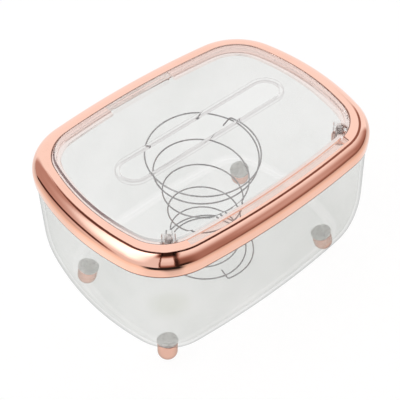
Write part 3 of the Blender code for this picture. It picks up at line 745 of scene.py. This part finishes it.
# Feet
def foot_section():
    """(radius, height) of a foot along its own axis, from its flat top round its ball."""
    top = (UNDERSIDE_Z - FOOT_RADIUS) / math.cos(FOOT_SPLAY) - PAD_THICKNESS + FOOT_FLAT_DEPTH - GAP
    edge = quarter((FOOT_RADIUS - EDGE, top - EDGE), (EDGE, EDGE), 0, EDGE_STEPS)
    ball = quarter((0, 0), (FOOT_RADIUS, FOOT_RADIUS), -90, FOOT_BALL_STEPS)
    return [(0, top)] + edge[::-1] + ball[::-1]


def make_feet(plated):
    """Four splayed bullet feet, each cut flat where it stands."""
    height = FOOT_RADIUS - FOOT_FLAT_DEPTH
    lean = math.tan(FOOT_SPLAY) * (UNDERSIDE_Z - height)
    axis = Matrix.Translation((lean, 0, height)) @ Matrix.Rotation(-FOOT_SPLAY, 4, "Y")
    places = (
        ("front_left", -1, -1, math.pi + FOOT_TURN),
        ("front_right", 1, -1, -FOOT_TURN),
        ("rear_right", 1, 1, FOOT_TURN),
        ("rear_left", -1, 1, math.pi - FOOT_TURN),
    )
    model = draw_section("foot_model", [(radius, 0, z) for radius, z in foot_section()])
    spin_on((0, 0), 2 * math.pi, FOOT_STEPS)
    close_up()
    for name, side_x, side_y, turn in places:
        foot = model.copy()
        foot.data = model.data.copy()
        foot.name = "plated_foot_" + name
        foot.data.name = foot.name
        bpy.context.scene.collection.objects.link(foot)
        place = Matrix.Translation((side_x * FOOT_X, side_y * FOOT_Y, 0)) @ Matrix.Rotation(turn, 4, "Z")
        foot.matrix_world = place @ axis
        make_active(foot)
        settle()
        bpy.ops.object.mode_set(mode="EDIT")
        bpy.ops.mesh.select_all(action="SELECT")
        bpy.ops.mesh.bisect(
            plane_co=(0, 0, 0), plane_no=(0, 0, 1), use_fill=True, clear_inner=True, threshold=WELD / 10
        )
        close_up()
        dress(foot, plated, "tub", "rose_gold", "foot_" + name)
    bpy.data.objects.remove(model, do_unlink=True)


# Spring
def eased(share):
    """Share of the spring's drop after a share of its working turns, slowing down to the floor."""
    pace = 1 / (1 - BOTTOM_RAMP / 2)
    if share > 1 - BOTTOM_RAMP:
        return 1 - pace * (1 - share) ** 2 / (2 * BOTTOM_RAMP)
    return pace * share


def coil_radius(share):
    """Radius of the spring after a share of its working turns: wide ends and a narrow waist."""
    if share < WAIST_PLACE:
        flare = ((WAIST_PLACE - share) / WAIST_PLACE) ** TOP_FLARE
        return WAIST_RADIUS + (TOP_RADIUS - WAIST_RADIUS) * flare
    flare = ((share - WAIST_PLACE) / (1 - WAIST_PLACE)) ** BOTTOM_FLARE
    return WAIST_RADIUS + (BASE_RADIUS - WAIST_RADIUS) * flare


def smooth(share):
    """A smooth step from 0 to 1."""
    share = min(max(share, 0.0), 1.0)
    return share * share * (3 - 2 * share)


def wire_point(turns):
    """The wire's centre after some turns down from its upper end."""
    angle = TOP_END_ANGLE - 2 * math.pi * turns
    last = 2 + WORKING_TURNS
    ducked = SPRING_TOP_Z - WIRE_LIFT
    if turns < 1:
        radius = TOP_RADIUS
        height = SPRING_TOP_Z - WIRE_LIFT * smooth((turns - 1 + CLOSING_TURNS) / CLOSING_TURNS)
    elif turns < 1 + WORKING_TURNS:
        share = (turns - 1) / WORKING_TURNS
        radius = coil_radius(share)
        height = ducked + (SPRING_BOTTOM_Z - ducked) * eased(share)
    else:
        spread = smooth((turns - last + SPREADING_TURNS) / SPREADING_TURNS)
        radius = BASE_RADIUS + (BOTTOM_RADIUS - BASE_RADIUS) * spread
        height = SPRING_BOTTOM_Z + WIRE_LIFT * smooth((turns - last + CLOSING_TURNS) / CLOSING_TURNS)
    tilt = min(1.0, max(0.0, (TILT_ENDS_AT - turns) / (TILT_ENDS_AT - 2)))
    height += COIL_TILT * math.cos(angle - COIL_TILT_ANGLE) * tilt
    return Vector((radius * math.cos(angle), radius * math.sin(angle), height))


def tail_points(end, before):
    """A wire end that bends square to its turn and runs straight in towards the axis."""
    onward = end - before
    onward.z = 0
    onward.normalize()
    inward = Vector((-end.x, -end.y, 0)).normalized()
    points = []
    for degrees in range(15, 91, 15):
        turn = math.radians(degrees)
        points.append(end + TAIL_BEND * (onward * math.sin(turn) + inward * (1 - math.cos(turn))))
    return points + [points[-1] + inward * TAIL_LENGTH]


def make_spring(steel):
    """The hourglass spring, one round wire."""
    turns = 2 + WORKING_TURNS
    count = round(turns * POINTS_PER_TURN)
    run = [wire_point(turns * step / count) for step in range(count + 1)]
    points = tail_points(run[0], run[1])[::-1] + run + tail_points(run[-1], run[-2])
    curve = bpy.data.curves.new("lift_spring", "CURVE")
    curve.dimensions = "3D"
    curve.bevel_depth = WIRE_DIAMETER / 2
    curve.bevel_resolution = WIRE_ROUNDNESS
    curve.use_fill_caps = True
    spline = curve.splines.new("POLY")
    spline.points.add(len(points) - 1)
    for target, point in zip(spline.points, points):
        target.co = (*point, 1.0)
    spring = bpy.data.objects.new("lift_spring", curve)
    bpy.context.scene.collection.objects.link(spring)
    make_active(spring)
    bpy.ops.object.convert(target="MESH")
    bpy.ops.object.mode_set(mode="EDIT")
    close_up()
    dress(spring, steel, "spring", "steel", "spring", angle=50)
    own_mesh(spring)


# Finishes
class Sheet:
    """A node tree, with short ways to add nodes and join them."""

    def __init__(self, tree):
        self.tree = tree

    def add(self, kind, **settings):
        """A node of one kind with some of its settings."""
        made = self.tree.nodes.new(kind)
        for key, value in settings.items():
            setattr(made, key, value)
        return made

    def join(self, source, target):
        """Join an output to an input."""
        self.tree.links.new(source, target)

    def put(self, value, socket):
        """Join a value to an input, or set it there if it is a plain number or colour."""
        if isinstance(value, bpy.types.NodeSocket):
            self.join(value, socket)
        else:
            socket.default_value = value

    def feed(self, node, **values):
        """Put values into a node's inputs, named with _ for a space."""
        for key, value in values.items():
            self.put(value, node.inputs[key.replace("_", " ")])

    def math(self, operation, first, second=0.0):
        """A sum on one or two values."""
        made = self.add("ShaderNodeMath", operation=operation)
        self.put(first, made.inputs[0])
        self.put(second, made.inputs[1])
        return made.outputs[0]

    def plus(self, first, second):
        """Two values added."""
        return self.math("ADD", first, second)

    def times(self, first, *others):
        """Some values multiplied."""
        product = first
        for other in others:
            product = self.math("MULTIPLY", product, other)
        return product

    def rest(self, share):
        """What is left of 1 when a share is taken away."""
        return self.math("SUBTRACT", 1.0, share)

    def larger(self, first, second):
        """The larger of two values."""
        return self.math("MAXIMUM", first, second)

    def span(self, along, across):
        """The length of a step that goes so far along and so far across."""
        squares = self.plus(self.math("POWER", along, 2.0), self.math("POWER", across, 2.0))
        return self.math("SQRT", squares)

    def ramp(self, value, start, end, low=0.0, high=1.0):
        """A smooth change from low to high as a value goes from start to end."""
        made = self.add("ShaderNodeMapRange", interpolation_type="SMOOTHSTEP", clamp=True)
        self.feed(made, Value=value, From_Min=start, From_Max=end, To_Min=low, To_Max=high)
        return made.outputs[0]

    def fall(self, value, start, end, high=1.0):
        """A smooth fall from high to nothing as a value goes from start to end."""
        return self.ramp(value, start, end, high, 0.0)

    def band(self, value, start, full, leave, end):
        """1 between two values, with a soft rise before and a soft fall after."""
        return self.times(self.ramp(value, start, full), self.fall(value, leave, end))

    def near(self, value, middle, reach):
        """1 close to a middle value, and nothing beyond a reach on either side of it."""
        half = reach / 2
        return self.band(value, middle - reach, middle - half, middle + half, middle + reach)

    def mixed(self, kind, ports, values):
        """The outputs of a Mix node of one kind, with values in some of its ports."""
        made = self.add("ShaderNodeMix", data_type=kind)
        for port, value in zip(ports, values):
            self.put(value, made.inputs[port])
        return made.outputs

    def blend(self, share, first, second):
        """A mix of two values."""
        return self.mixed("FLOAT", (0, 2, 3), (share, first, second))[0]

    def mix(self, share, first, second):
        """A mix of two colours."""
        return self.mixed("RGBA", (0, 6, 7), (share, first, second))[2]


def handling_group():
    """Soft smudges and a fine grain on Object coordinates, for every finish."""
    group = bpy.data.node_groups.new("handling marks", "ShaderNodeTree")
    settings = {"Smudge Scale": 20.0, "Grain Scale": 400.0, "Smooth": 0.05, "Dull": 0.1}
    for name, value in settings.items():
        socket = group.interface.new_socket(name=name, in_out="INPUT", socket_type="NodeSocketFloat")
        socket.default_value = value
    for name in ("Roughness", "Smudge", "Grain"):
        group.interface.new_socket(name=name, in_out="OUTPUT", socket_type="NodeSocketFloat")
    sheet = Sheet(group)
    source = sheet.add("NodeGroupInput").outputs
    result = sheet.add("NodeGroupOutput")
    place = sheet.add("ShaderNodeTexCoord").outputs["Object"]
    smudge = sheet.add("ShaderNodeTexNoise")
    sheet.feed(smudge, Vector=place, Scale=source["Smudge Scale"], Detail=4.0, Roughness=0.6)
    grain = sheet.add("ShaderNodeTexNoise")
    sheet.feed(grain, Vector=place, Scale=source["Grain Scale"], Detail=2.0)
    marks = sheet.ramp(smudge.outputs["Fac"], *SMUDGE_NOISE)
    spread = sheet.math("SUBTRACT", source["Dull"], source["Smooth"])
    dulled = sheet.plus(source["Smooth"], sheet.times(spread, marks))
    sheet.feed(result, Roughness=dulled, Smudge=marks, Grain=grain.outputs["Fac"])
    return group


HANDLING = handling_group()


def finish_sheet(name, smudge_scale, grain_scale, smooth_level, dull_level):
    """A new material with the handling marks placed, its shader's roughness joined to them."""
    made = bpy.data.materials.new(name)
    made.use_nodes = True
    sheet = Sheet(made.node_tree)
    shader = made.node_tree.nodes["Principled BSDF"]
    marks = sheet.add("ShaderNodeGroup", node_tree=HANDLING)
    sheet.feed(marks, Smudge_Scale=smudge_scale, Grain_Scale=grain_scale)
    sheet.feed(marks, Smooth=smooth_level, Dull=dull_level)
    sheet.feed(shader, Roughness=marks.outputs["Roughness"])
    return made, sheet, shader, marks.outputs


def add_bump(sheet, shader, height, strength, distance):
    """A bump from a height on the shader's normal."""
    bump = sheet.add("ShaderNodeBump")
    sheet.feed(bump, Height=height, Strength=strength, Distance=distance)
    sheet.feed(shader, Normal=bump.outputs["Normal"])


def place_parts(sheet):
    """The X, Y and Z of a place on a piece."""
    split = sheet.add("ShaderNodeSeparateXYZ")
    sheet.join(sheet.add("ShaderNodeTexCoord").outputs["Object"], split.inputs[0])
    return split.outputs["X"], split.outputs["Y"], split.outputs["Z"]


def upward_part(sheet):
    """How far a face is turned upwards."""
    split = sheet.add("ShaderNodeSeparateXYZ")
    sheet.join(sheet.add("ShaderNodeTexCoord").outputs["Normal"], split.inputs[0])
    return split.outputs["Z"]


def turned_away(sheet, start, end):
    """0 on faces seen square on, 1 on faces seen edge on."""
    return sheet.ramp(sheet.add("ShaderNodeLayerWeight").outputs["Facing"], start, end)


def outward_lean(sheet):
    """How far a face is turned out from the box's middle line, times its distance from that line."""
    coordinates = sheet.add("ShaderNodeTexCoord").outputs
    level = sheet.add("ShaderNodeVectorMath", operation="MULTIPLY")
    sheet.put(coordinates["Object"], level.inputs[0])
    sheet.put((1, 1, 0), level.inputs[1])
    lean = sheet.add("ShaderNodeVectorMath", operation="DOT_PRODUCT")
    sheet.put(coordinates["Normal"], lean.inputs[0])
    sheet.put(level.outputs[0], lean.inputs[1])
    return lean.outputs["Value"]


def inward_faces(sheet):
    """1 on faces turned in towards the box's middle."""
    return sheet.fall(outward_lean(sheet), *INWARD_LEAN)


def outer_faces(sheet):
    """1 on the tub's outside, seen from either side of the plastic, and 0 on its inside."""
    behind = sheet.add("ShaderNodeNewGeometry").outputs["Backfacing"]
    way = sheet.rest(sheet.times(behind, 2.0))
    return sheet.ramp(sheet.times(outward_lean(sheet), way), *OUTWARD_LEAN)


def boss_distance(sheet, x, y):
    """The distance from the nearer boss's middle line."""
    aside = sheet.math("SUBTRACT", sheet.math("ABSOLUTE", x), BOSS_X)
    return sheet.span(aside, sheet.math("SUBTRACT", y, BOSS_Y))


def clear_plastic(name, colour, hazed, clearness, bending, glance):
    """Clear moulded plastic: polished, a little milky, with handling haze and slow moulding waves."""
    made, sheet, shader, marks = finish_sheet(
        name, smudge_scale=15.0, grain_scale=60.0, smooth_level=0.012, dull_level=0.045
    )
    sheet.feed(shader, IOR=bending, Transmission_Weight=clearness, Specular_IOR_Level=glance)
    add_bump(sheet, shader, marks["Grain"], strength=0.02, distance=0.001)
    return made, sheet, shader, sheet.mix(marks["Smudge"], colour, hazed)


def gate_cloud(sheet):
    """The cloudy patch round the tub's moulding gate."""
    from_gate = sheet.add("ShaderNodeVectorMath", operation="DISTANCE")
    sheet.put(sheet.add("ShaderNodeTexCoord").outputs["Object"], from_gate.inputs[0])
    sheet.put(GATE_PLACE, from_gate.inputs[1])
    return sheet.fall(from_gate.outputs["Value"], *GATE_CLOUD)


def tub_plastic():
    """The tub's plastic: milky, cloudy by its gate, with painted crease shading and a painted glint just
    above its floor, grey where it turns away.
    """
    made, sheet, shader, colour = clear_plastic(
        "clear tub plastic", TUB_CLEAR, TUB_HAZED, clearness=0.91, bending=1.0, glance=0.05
    )
    colour = sheet.mix(gate_cloud(sheet), colour, TUB_CLOUD)
    # Painted crease shading: a faint paler line just above the floor, where the smooth mesh has no crease.
    above_floor = sheet.math("SUBTRACT", place_parts(sheet)[2], FLOOR_TOP_Z)
    crease_shading = sheet.times(sheet.band(above_floor, *CREASE_SHADING_BAND), CREASE_SHADING_SHARE)
    colour = sheet.mix(crease_shading, colour, TUB_CREASE_SHADING)
    # Painted glint: a white band a few millimetres above the floor.
    painted_glint = sheet.times(sheet.band(above_floor, *PAINTED_FLOOR_GLINT), PAINTED_GLINT_SHARE)
    colour = sheet.mix(painted_glint, colour, WHITE)
    edge_on = sheet.times(turned_away(sheet, *TUB_TURNED_AWAY), outer_faces(sheet))
    sheet.feed(shader, Base_Color=sheet.mix(edge_on, colour, TUB_EDGE_ON))
    return made


def mark_slot_lip(sheet, colour, x, y):
    """The lid's colour, white on the lip round its slot, with a grey line along each side of the lip."""
    past_straight = sheet.math("SUBTRACT", sheet.math("ABSOLUTE", x), SLOT_HALF_STRAIGHT)
    from_slot = sheet.span(sheet.larger(past_straight, 0.0), y)
    lip_edge = SLOT_RADIUS + SLOT_LIP_WIDTH
    colour = sheet.mix(sheet.fall(from_slot, lip_edge, lip_edge + GAP), colour, WHITE)
    outline = sheet.band(from_slot, lip_edge - GAP, lip_edge, lip_edge + EDGE, lip_edge + 2 * EDGE)
    inner_line = sheet.fall(from_slot, SLOT_RADIUS, SLOT_RADIUS + EDGE)
    return sheet.mix(sheet.larger(outline, inner_line), colour, SLOT_LINE)


def shoulder_shade(sheet, x, y, height):
    """Painted shade: the grey line along the lid's shoulder, strongest to the left and at the rear."""
    start = PANEL_EDGE_Z + SHOULDER_SHADE_START
    full = PANEL_EDGE_Z + SHOULDER_SHADE_FULL
    line = sheet.band(height, start, full, PANEL_SHOULDER_Z - GAP, PANEL_SHOULDER_Z)
    slope = sheet.band(upward_part(sheet), *SHOULDER_SLOPE)
    return sheet.times(line, slope, sheet.ramp(x, *SHOULDER_LEFT), sheet.ramp(y, *SHOULDER_REAR))


def front_lip_place(sheet, y, height):
    """Where the lid's front lip lies in the rim's opening."""
    inner_y = PANEL_INSET + LONG_SIDE_BOW - HALF_WIDTH
    forward = sheet.fall(y, inner_y, inner_y + EDGE, FRONT_LIP_SHARE)
    return sheet.times(forward, sheet.fall(height, FRONT_LIP_TOP_Z, FRONT_LIP_TOP_Z + GAP))


def mark_bosses(sheet, colour, x, y, height):
    """The lid's colour, with dark threads in the bores and dark edges on the bosses."""
    from_boss = boss_distance(sheet, x, y)
    low_down = sheet.fall(height, BORE_TOP_Z, BORE_TOP_Z + GAP)
    turns = sheet.math("FRACT", sheet.math("DIVIDE", height, SCREW_PITCH))
    in_bore = sheet.fall(from_boss, SCREW_RADIUS + 2 * GAP, SCREW_RADIUS + 3 * GAP, THREAD_SHARE)
    threads = sheet.times(sheet.band(turns, *THREAD_TURN), low_down, in_bore)
    colour = sheet.mix(threads, colour, BORE_THREAD)
    side = sheet.times(sheet.near(from_boss, BOSS_RADIUS, GAP), low_down)
    side = sheet.times(side, turned_away(sheet, *BOSS_TURNED_AWAY))
    return sheet.mix(side, colour, BOSS_EDGE)


def lid_plastic():
    """The lid's plastic: a pale slot lip, a painted highlight on its edge, a grey line of painted shade on
    its shoulder, a pink front lip and threaded bosses.
    """
    made, sheet, shader, colour = clear_plastic(
        "clear lid plastic", LID_CLEAR, LID_HAZED, clearness=0.96, bending=1.05, glance=0.3
    )
    x, y, height = place_parts(sheet)
    colour = mark_slot_lip(sheet, colour, x, y)
    # Painted highlight: a paler, warmer tint on the lid's edge, below the underside of its shoulder.
    under_shoulder = PANEL_SHOULDER_Z - PANEL_WALL
    colour = sheet.mix(sheet.fall(height, under_shoulder - GAP, under_shoulder), colour, LID_EDGE_HIGHLIGHT)
    colour = sheet.mix(shoulder_shade(sheet, x, y, height), colour, SHOULDER_SHADE)
    colour = sheet.mix(front_lip_place(sheet, y, height), colour, FRONT_LIP)
    sheet.feed(shader, Base_Color=mark_bosses(sheet, colour, x, y, height))
    return made


def rose_gold(name, bright, deep):
    """Bright rose-gold plating with slight orange peel and faint dulled patches."""
    made, sheet, shader, marks = finish_sheet(
        name, smudge_scale=38.0, grain_scale=900.0, smooth_level=0.035, dull_level=0.085
    )
    sheet.feed(shader, Metallic=1.0)
    add_bump(sheet, shader, marks["Grain"], strength=0.012, distance=0.0005)
    return made, sheet, shader, marks, sheet.mix(marks["Smudge"], bright, deep)


def rim_plating():
    """The rim's plating: a satin ledge painted paler as a sheen, painted shade inside its lip and along
    its foot, and darker in its cups.
    """
    made, sheet, shader, marks, colour = rose_gold("rose gold plating", GOLD_BRIGHT, GOLD_DEEP)
    x, y, height = place_parts(sheet)
    inward = inward_faces(sheet)
    ledge_low = LEDGE_Z - LEDGE_THICKNESS
    wall = sheet.times(inward, sheet.ramp(height, ledge_low - EDGE, ledge_low))
    ledge = sheet.times(sheet.near(height, LEDGE_Z, GAP), sheet.ramp(upward_part(sheet), *LEDGE_SLOPE))
    satin = sheet.larger(wall, ledge)
    # The satin ledge and inner wall are rougher, and are also painted paler as a sheen.
    colour = sheet.mix(satin, colour, GOLD_PAINTED_SHEEN)
    # Painted shade in the gap where the lid meets the rim's inner lip.
    joint_shade = sheet.times(inward, sheet.ramp(height, RIM_Z + JOINT_SHADE_START, RIM_Z + JOINT_SHADE_FULL))
    colour = sheet.mix(joint_shade, colour, GOLD_JOINT_SHADE)
    # Painted shade: a dark line along the rim's lower edge, where it tucks in against the tub.
    foot_z = RIM_Z - RIM_DROP
    foot = sheet.fall(height, foot_z + FOOT_SHADE_FULL, foot_z + FOOT_SHADE_END, FOOT_SHADE_SHARE)
    colour = sheet.mix(foot, colour, GOLD_FOOT_SHADE)
    # Darker within the tabs' cups.
    cup = sheet.fall(boss_distance(sheet, x, y), TAB_RADIUS, TAB_RADIUS + EDGE, CUP_SHARE)
    roughness = sheet.plus(marks["Roughness"], sheet.times(satin, SATIN_ROUGHNESS))
    sheet.feed(shader, Base_Color=sheet.mix(cup, colour, GOLD_CUP), Roughness=roughness)
    return made


def foot_plating():
    """The feet's plating, darker than the rim's, with painted shade, browner where their sides turn away.
    """
    made, sheet, shader, _, colour = rose_gold("rose gold feet", FOOT_BRIGHT, FOOT_DEEP)
    sheet.feed(shader, Base_Color=sheet.mix(turned_away(sheet, *FOOT_TURNED_AWAY), colour, FOOT_EDGE_SHADE))
    return made


def tarnished_steel(name, bright, dull, strength, **levels):
    """Steel that is dulled in patches, with a fine grain."""
    made, sheet, shader, marks = finish_sheet(name, **levels)
    sheet.feed(shader, Metallic=1.0, Base_Color=sheet.mix(marks["Smudge"], bright, dull))
    add_bump(sheet, shader, marks["Grain"], strength, distance=0.0002)
    return made


def drawn_steel():
    """Drawn spring wire: dark bright steel, with die lines and slight tarnish."""
    levels = {"smudge_scale": 90.0, "grain_scale": 2600.0, "smooth_level": 0.16, "dull_level": 0.34}
    return tarnished_steel("drawn steel wire", WIRE_BRIGHT, WIRE_DULL, strength=0.12, **levels)


def screw_steel():
    """Zinc-plated screw steel."""
    levels = {"smudge_scale": 240.0, "grain_scale": 3000.0, "smooth_level": 0.2, "dull_level": 0.42}
    return tarnished_steel("zinc plated steel", ZINC_BRIGHT, ZINC_DULL, strength=0.15, **levels)


def grey_pad():
    """Grey moulded pad, matt and mottled, a little darker on top."""
    made, sheet, shader, marks = finish_sheet(
        "grey pad", smudge_scale=520.0, grain_scale=2400.0, smooth_level=0.42, dull_level=0.7
    )
    pale = sheet.mix(sheet.ramp(upward_part(sheet), *PAD_SLOPE), PAD_SIDE, PAD_TOP)
    sheet.feed(shader, Base_Color=sheet.mix(marks["Smudge"], pale, PAD_MOTTLE))
    add_bump(sheet, shader, marks["Grain"], strength=0.3, distance=0.0004)
    return made


# Studio
def level_parts(sheet, vector):
    """How far a direction or place lies towards the camera, and to its right, on the level."""
    parts = []
    for axis in (TOWARDS_CAMERA, TO_THE_RIGHT):
        dot = sheet.add("ShaderNodeVectorMath", operation="DOT_PRODUCT")
        sheet.put(vector, dot.inputs[0])
        sheet.put(axis, dot.inputs[1])
        parts.append(dot.outputs["Value"])
    return parts


def turn_degrees(sheet, ahead, across):
    """The angle of a direction round the object: 0 towards the camera, positive to its right."""
    return sheet.math("DEGREES", sheet.math("ARCTAN2", across, ahead))


def studio_tint(sheet, level):
    """The colour of the studio's light: white where it is bright and warm where it is dim."""
    return sheet.mix(sheet.ramp(level, *TINT_LEVEL), WARM_DIM, WHITE)


def floor_shade(sheet, ahead, across):
    """The dark stretch of the floor before the camera, as a share of its light."""
    from_rim = sheet.math("SUBTRACT", ahead, RIM_FRONT_REACH)
    turn = turn_degrees(sheet, from_rim, across)
    far_shade = sheet.times(sheet.band(turn, *FAR_SHADE_TURN), sheet.ramp(from_rim, *FAR_SHADE_REACH))
    near_shade = sheet.times(sheet.band(turn, *NEAR_SHADE_TURN), sheet.ramp(from_rim, *NEAR_SHADE_REACH))
    return sheet.larger(far_shade, near_shade)


def mirrored_floor(sheet, place):
    """The floor in a mirror: warm, bright behind the object, dark before the camera."""
    ahead, across = level_parts(sheet, place)
    turn = turn_degrees(sheet, ahead, across)
    round_turn = sheet.math("ABSOLUTE", turn)
    reach = sheet.span(ahead, across)
    left_patch = sheet.times(sheet.band(turn, *FLOOR_LEFT_TURN), FLOOR_LEFT_LIGHT)
    level = sheet.plus(sheet.ramp(reach, *FLOOR_FADE), left_patch)
    level = sheet.blend(sheet.ramp(round_turn, *FLOOR_BEHIND_TURN), level, 1.0)
    tint = sheet.mix(sheet.ramp(reach, *NEAR_FLOOR_REACH), NEAR_FLOOR, WARM_FLOOR)
    tint = sheet.mix(sheet.ramp(round_turn, *WHITE_FLOOR_TURN), tint, WHITE)
    return sheet.times(level, sheet.rest(floor_shade(sheet, ahead, across))), tint


def floor_paint():
    """White paint that keeps a pale shadow. Mirrors see its shaded stretch before the camera."""
    made = bpy.data.materials.new("studio floor")
    made.use_nodes = True
    nodes = made.node_tree.nodes
    nodes.remove(nodes["Principled BSDF"])
    sheet = Sheet(made.node_tree)
    rays = sheet.add("ShaderNodeLightPath").outputs
    through = rays["Is Transmission Ray"]
    mirrored = sheet.larger(sheet.math("SUBTRACT", rays["Is Glossy Ray"], through), 0.0)
    seen = sheet.larger(rays["Is Camera Ray"], through)
    level, tint = mirrored_floor(sheet, sheet.add("ShaderNodeTexCoord").outputs["Object"])
    glow = sheet.add("ShaderNodeEmission")
    tint = sheet.mix(mirrored, WHITE, tint)
    sheet.feed(glow, Color=tint, Strength=sheet.blend(mirrored, FLOOR_WHITE, level))
    paint = sheet.add("ShaderNodeBsdfDiffuse")
    sheet.feed(paint, Color=FLOOR_PAINT)
    share = sheet.plus(sheet.times(seen, FLOOR_GLOW_SHARE), mirrored)
    blend = sheet.add("ShaderNodeMixShader")
    for source, target in zip((share, paint.outputs[0], glow.outputs[0]), blend.inputs):
        sheet.join(source, target)
    sheet.join(blend.outputs[0], nodes["Material Output"].inputs["Surface"])
    return made


def make_floor():
    """A wide white floor at the feet."""
    start_fresh()
    bpy.ops.mesh.primitive_plane_add(size=FLOOR_SIZE, location=(0, 0, 0))
    floor = bpy.context.object
    floor.name = "studio_floor"
    floor.data.materials.append(floor_paint())


def lit_room(sheet, turn, rise, sideways, reach):
    """The level of the studio's room: dim to the right, a soft box to the left, a patch at the camera."""
    near_wall = sheet.times(sheet.fall(turn, *NEAR_WALL_TURN), sheet.fall(rise, *NEAR_WALL_RISE))
    right_room = sheet.times(sheet.ramp(reach, *RIGHT_ROOM_FADE), sheet.rest(near_wall))
    window = sheet.times(sheet.band(turn, *WINDOW_TURN), sheet.band(rise, *WINDOW_RISE), WINDOW_LIGHT)
    right_room = sheet.plus(right_room, window)
    left_window = sheet.times(sheet.ramp(rise, *LEFT_WINDOW_RISE), sheet.band(turn, *LEFT_WINDOW_TURN))
    left_room = sheet.plus(sheet.ramp(turn, *LEFT_ROOM_FADE), left_window)
    light = sheet.blend(sheet.fall(turn, *ROOM_MIDDLE), right_room, left_room)
    patch = sheet.plus(sheet.ramp(rise, *PATCH_LOW_RISE), sheet.ramp(rise, *PATCH_HIGH_RISE))
    light = sheet.blend(sheet.band(sideways, *PATCH_SIDE), light, patch)
    past_corner = sheet.math("MINIMUM", sheet.plus(turn, SOFT_BOX_CORNER), 0.0)
    box_rise = sheet.plus(rise, sheet.times(past_corner, SOFT_BOX_SLOPE))
    box = sheet.times(sheet.ramp(box_rise, *SOFT_BOX_RISE), sheet.band(turn, *SOFT_BOX_TURN))
    return sheet.plus(light, box)


def shaded_room(sheet, turn, rise, sideways):
    """How much of the room's light its stands, its corner and its skirtings take away."""
    stands = sheet.plus(sheet.band(sideways, *LEFT_STAND), sheet.band(sideways, *RIGHT_STAND))
    stands = sheet.times(stands, sheet.ramp(rise, *STAND_RISE))
    corner = sheet.times(sheet.fall(rise, *CORNER_RISE), sheet.band(turn, *CORNER_TURN))
    bow = sheet.times(sheet.math("POWER", sheet.plus(turn, LEFT_SKIRTING_MIDDLE), 2.0), LEFT_SKIRTING_BOW)
    left_skirting = sheet.band(sheet.plus(rise, bow), *LEFT_SKIRTING_RISE)
    left_skirting = sheet.times(left_skirting, sheet.band(turn, *LEFT_SKIRTING_TURN), LEFT_SKIRTING_SHARE)
    right_skirting = sheet.band(turn, *RIGHT_SKIRTING_TURN)
    right_skirting = sheet.times(right_skirting, sheet.fall(rise, *RIGHT_SKIRTING_RISE))
    shade = sheet.larger(sheet.larger(corner, right_skirting), left_skirting)
    return sheet.math("MINIMUM", sheet.larger(shade, stands), 1.0)


def overhead_dark(sheet, turn, rise, sideways, seam):
    """The dark seam where the backdrop ends overhead, and the dark above the camera."""
    line = sheet.times(sheet.band(seam, *SEAM_LINE), sheet.ramp(rise, *SEAM_RISE))
    line = sheet.times(line, sheet.band(turn, *SEAM_TURN))
    above = sheet.times(sheet.band(sideways, *ABOVE_SIDE), sheet.ramp(rise, *ABOVE_RISE))
    above = sheet.times(above, sheet.ramp(seam, *ABOVE_SEAM))
    return sheet.times(sheet.larger(line, above), OVERHEAD_SHARE)


def studio_light(sheet, way):
    """The level of the studio's light from a direction: room, backdrop and the dark overhead."""
    split = sheet.add("ShaderNodeSeparateXYZ")
    sheet.join(way, split.inputs[0])
    up = split.outputs["Z"]
    ahead, across = level_parts(sheet, way)
    rise = sheet.math("DEGREES", sheet.math("ARCSINE", up))
    turn = turn_degrees(sheet, ahead, across)
    level = sheet.math("SQRT", sheet.rest(sheet.math("POWER", up, 2.0)))
    sideways = sheet.math("DIVIDE", across, sheet.plus(sheet.times(level, SIDE_LEVEL), 1 - SIDE_LEVEL))
    drop = sheet.rest(up)
    reach = sheet.plus(ahead, sheet.times(drop, ROOM_TILT))
    seam = sheet.plus(ahead, sheet.times(drop, sheet.ramp(across, *SEAM_TILT)))
    room = lit_room(sheet, turn, rise, sideways, reach)
    room = sheet.times(room, sheet.rest(shaded_room(sheet, turn, rise, sideways)))
    behind = sheet.ramp(sheet.math("ABSOLUTE", sheet.plus(turn, BACKDROP_MIDDLE)), *BACKDROP_TURN)
    backdrop = sheet.larger(sheet.fall(seam, *BACKDROP_SEAM), behind)
    light = sheet.blend(backdrop, room, BACKDROP_WHITE)
    return sheet.times(light, sheet.rest(overhead_dark(sheet, turn, rise, sideways, seam)))


def make_world():
    """White all round for the eye and through glass. Light and mirrors see a studio.

    A white backdrop comes over the top and ends in a dark seam. In front of it lies the room.
    """
    world = bpy.data.worlds.new("studio")
    bpy.context.scene.world = world
    world.use_nodes = True
    sheet = Sheet(world.node_tree)
    light = studio_light(sheet, sheet.add("ShaderNodeTexCoord").outputs["Generated"])
    rays = sheet.add("ShaderNodeLightPath").outputs
    plain = sheet.larger(rays["Is Camera Ray"], rays["Is Transmission Ray"])
    tint = sheet.mix(plain, studio_tint(sheet, light), WHITE)
    sheet.feed(world.node_tree.nodes["Background"], Color=tint, Strength=sheet.blend(plain, light, 1.0))


def make_camera():
    """The photograph's camera."""
    lens = bpy.data.cameras.new("camera")
    lens.lens = CAMERA_LENS
    lens.sensor_width = CAMERA_SENSOR
    lens.clip_start = 0.01
    lens.clip_end = 50
    camera = bpy.data.objects.new("camera", lens)
    turn = Matrix((CAMERA_RIGHT, CAMERA_UP, CAMERA_BACK)).transposed().to_4x4()
    camera.matrix_world = Matrix.Translation(CAMERA_PLACE) @ turn
    bpy.context.scene.collection.objects.link(camera)
    bpy.context.scene.camera = camera


def dress_pads(pad):
    """The CAD pads keep their shape and get the grey finish."""
    for name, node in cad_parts.items():
        if name.startswith("foot_pad"):
            node.data.materials.clear()
            node.data.materials.append(pad)


make_camera()
make_floor()
make_world()
make_tub(tub_plastic())
make_rim(rim_plating())
make_lid(lid_plastic())
make_screws(screw_steel())
make_feet(foot_plating())
make_spring(drawn_steel())
dress_pads(grey_pad())
start_fresh()

bpy.context.scene.view_settings.view_transform = "Standard"
bpy.context.scene.cycles.max_bounces = 32
bpy.context.scene.cycles.transmission_bounces = 32
bpy.context.scene.cycles.glossy_bounces = 16
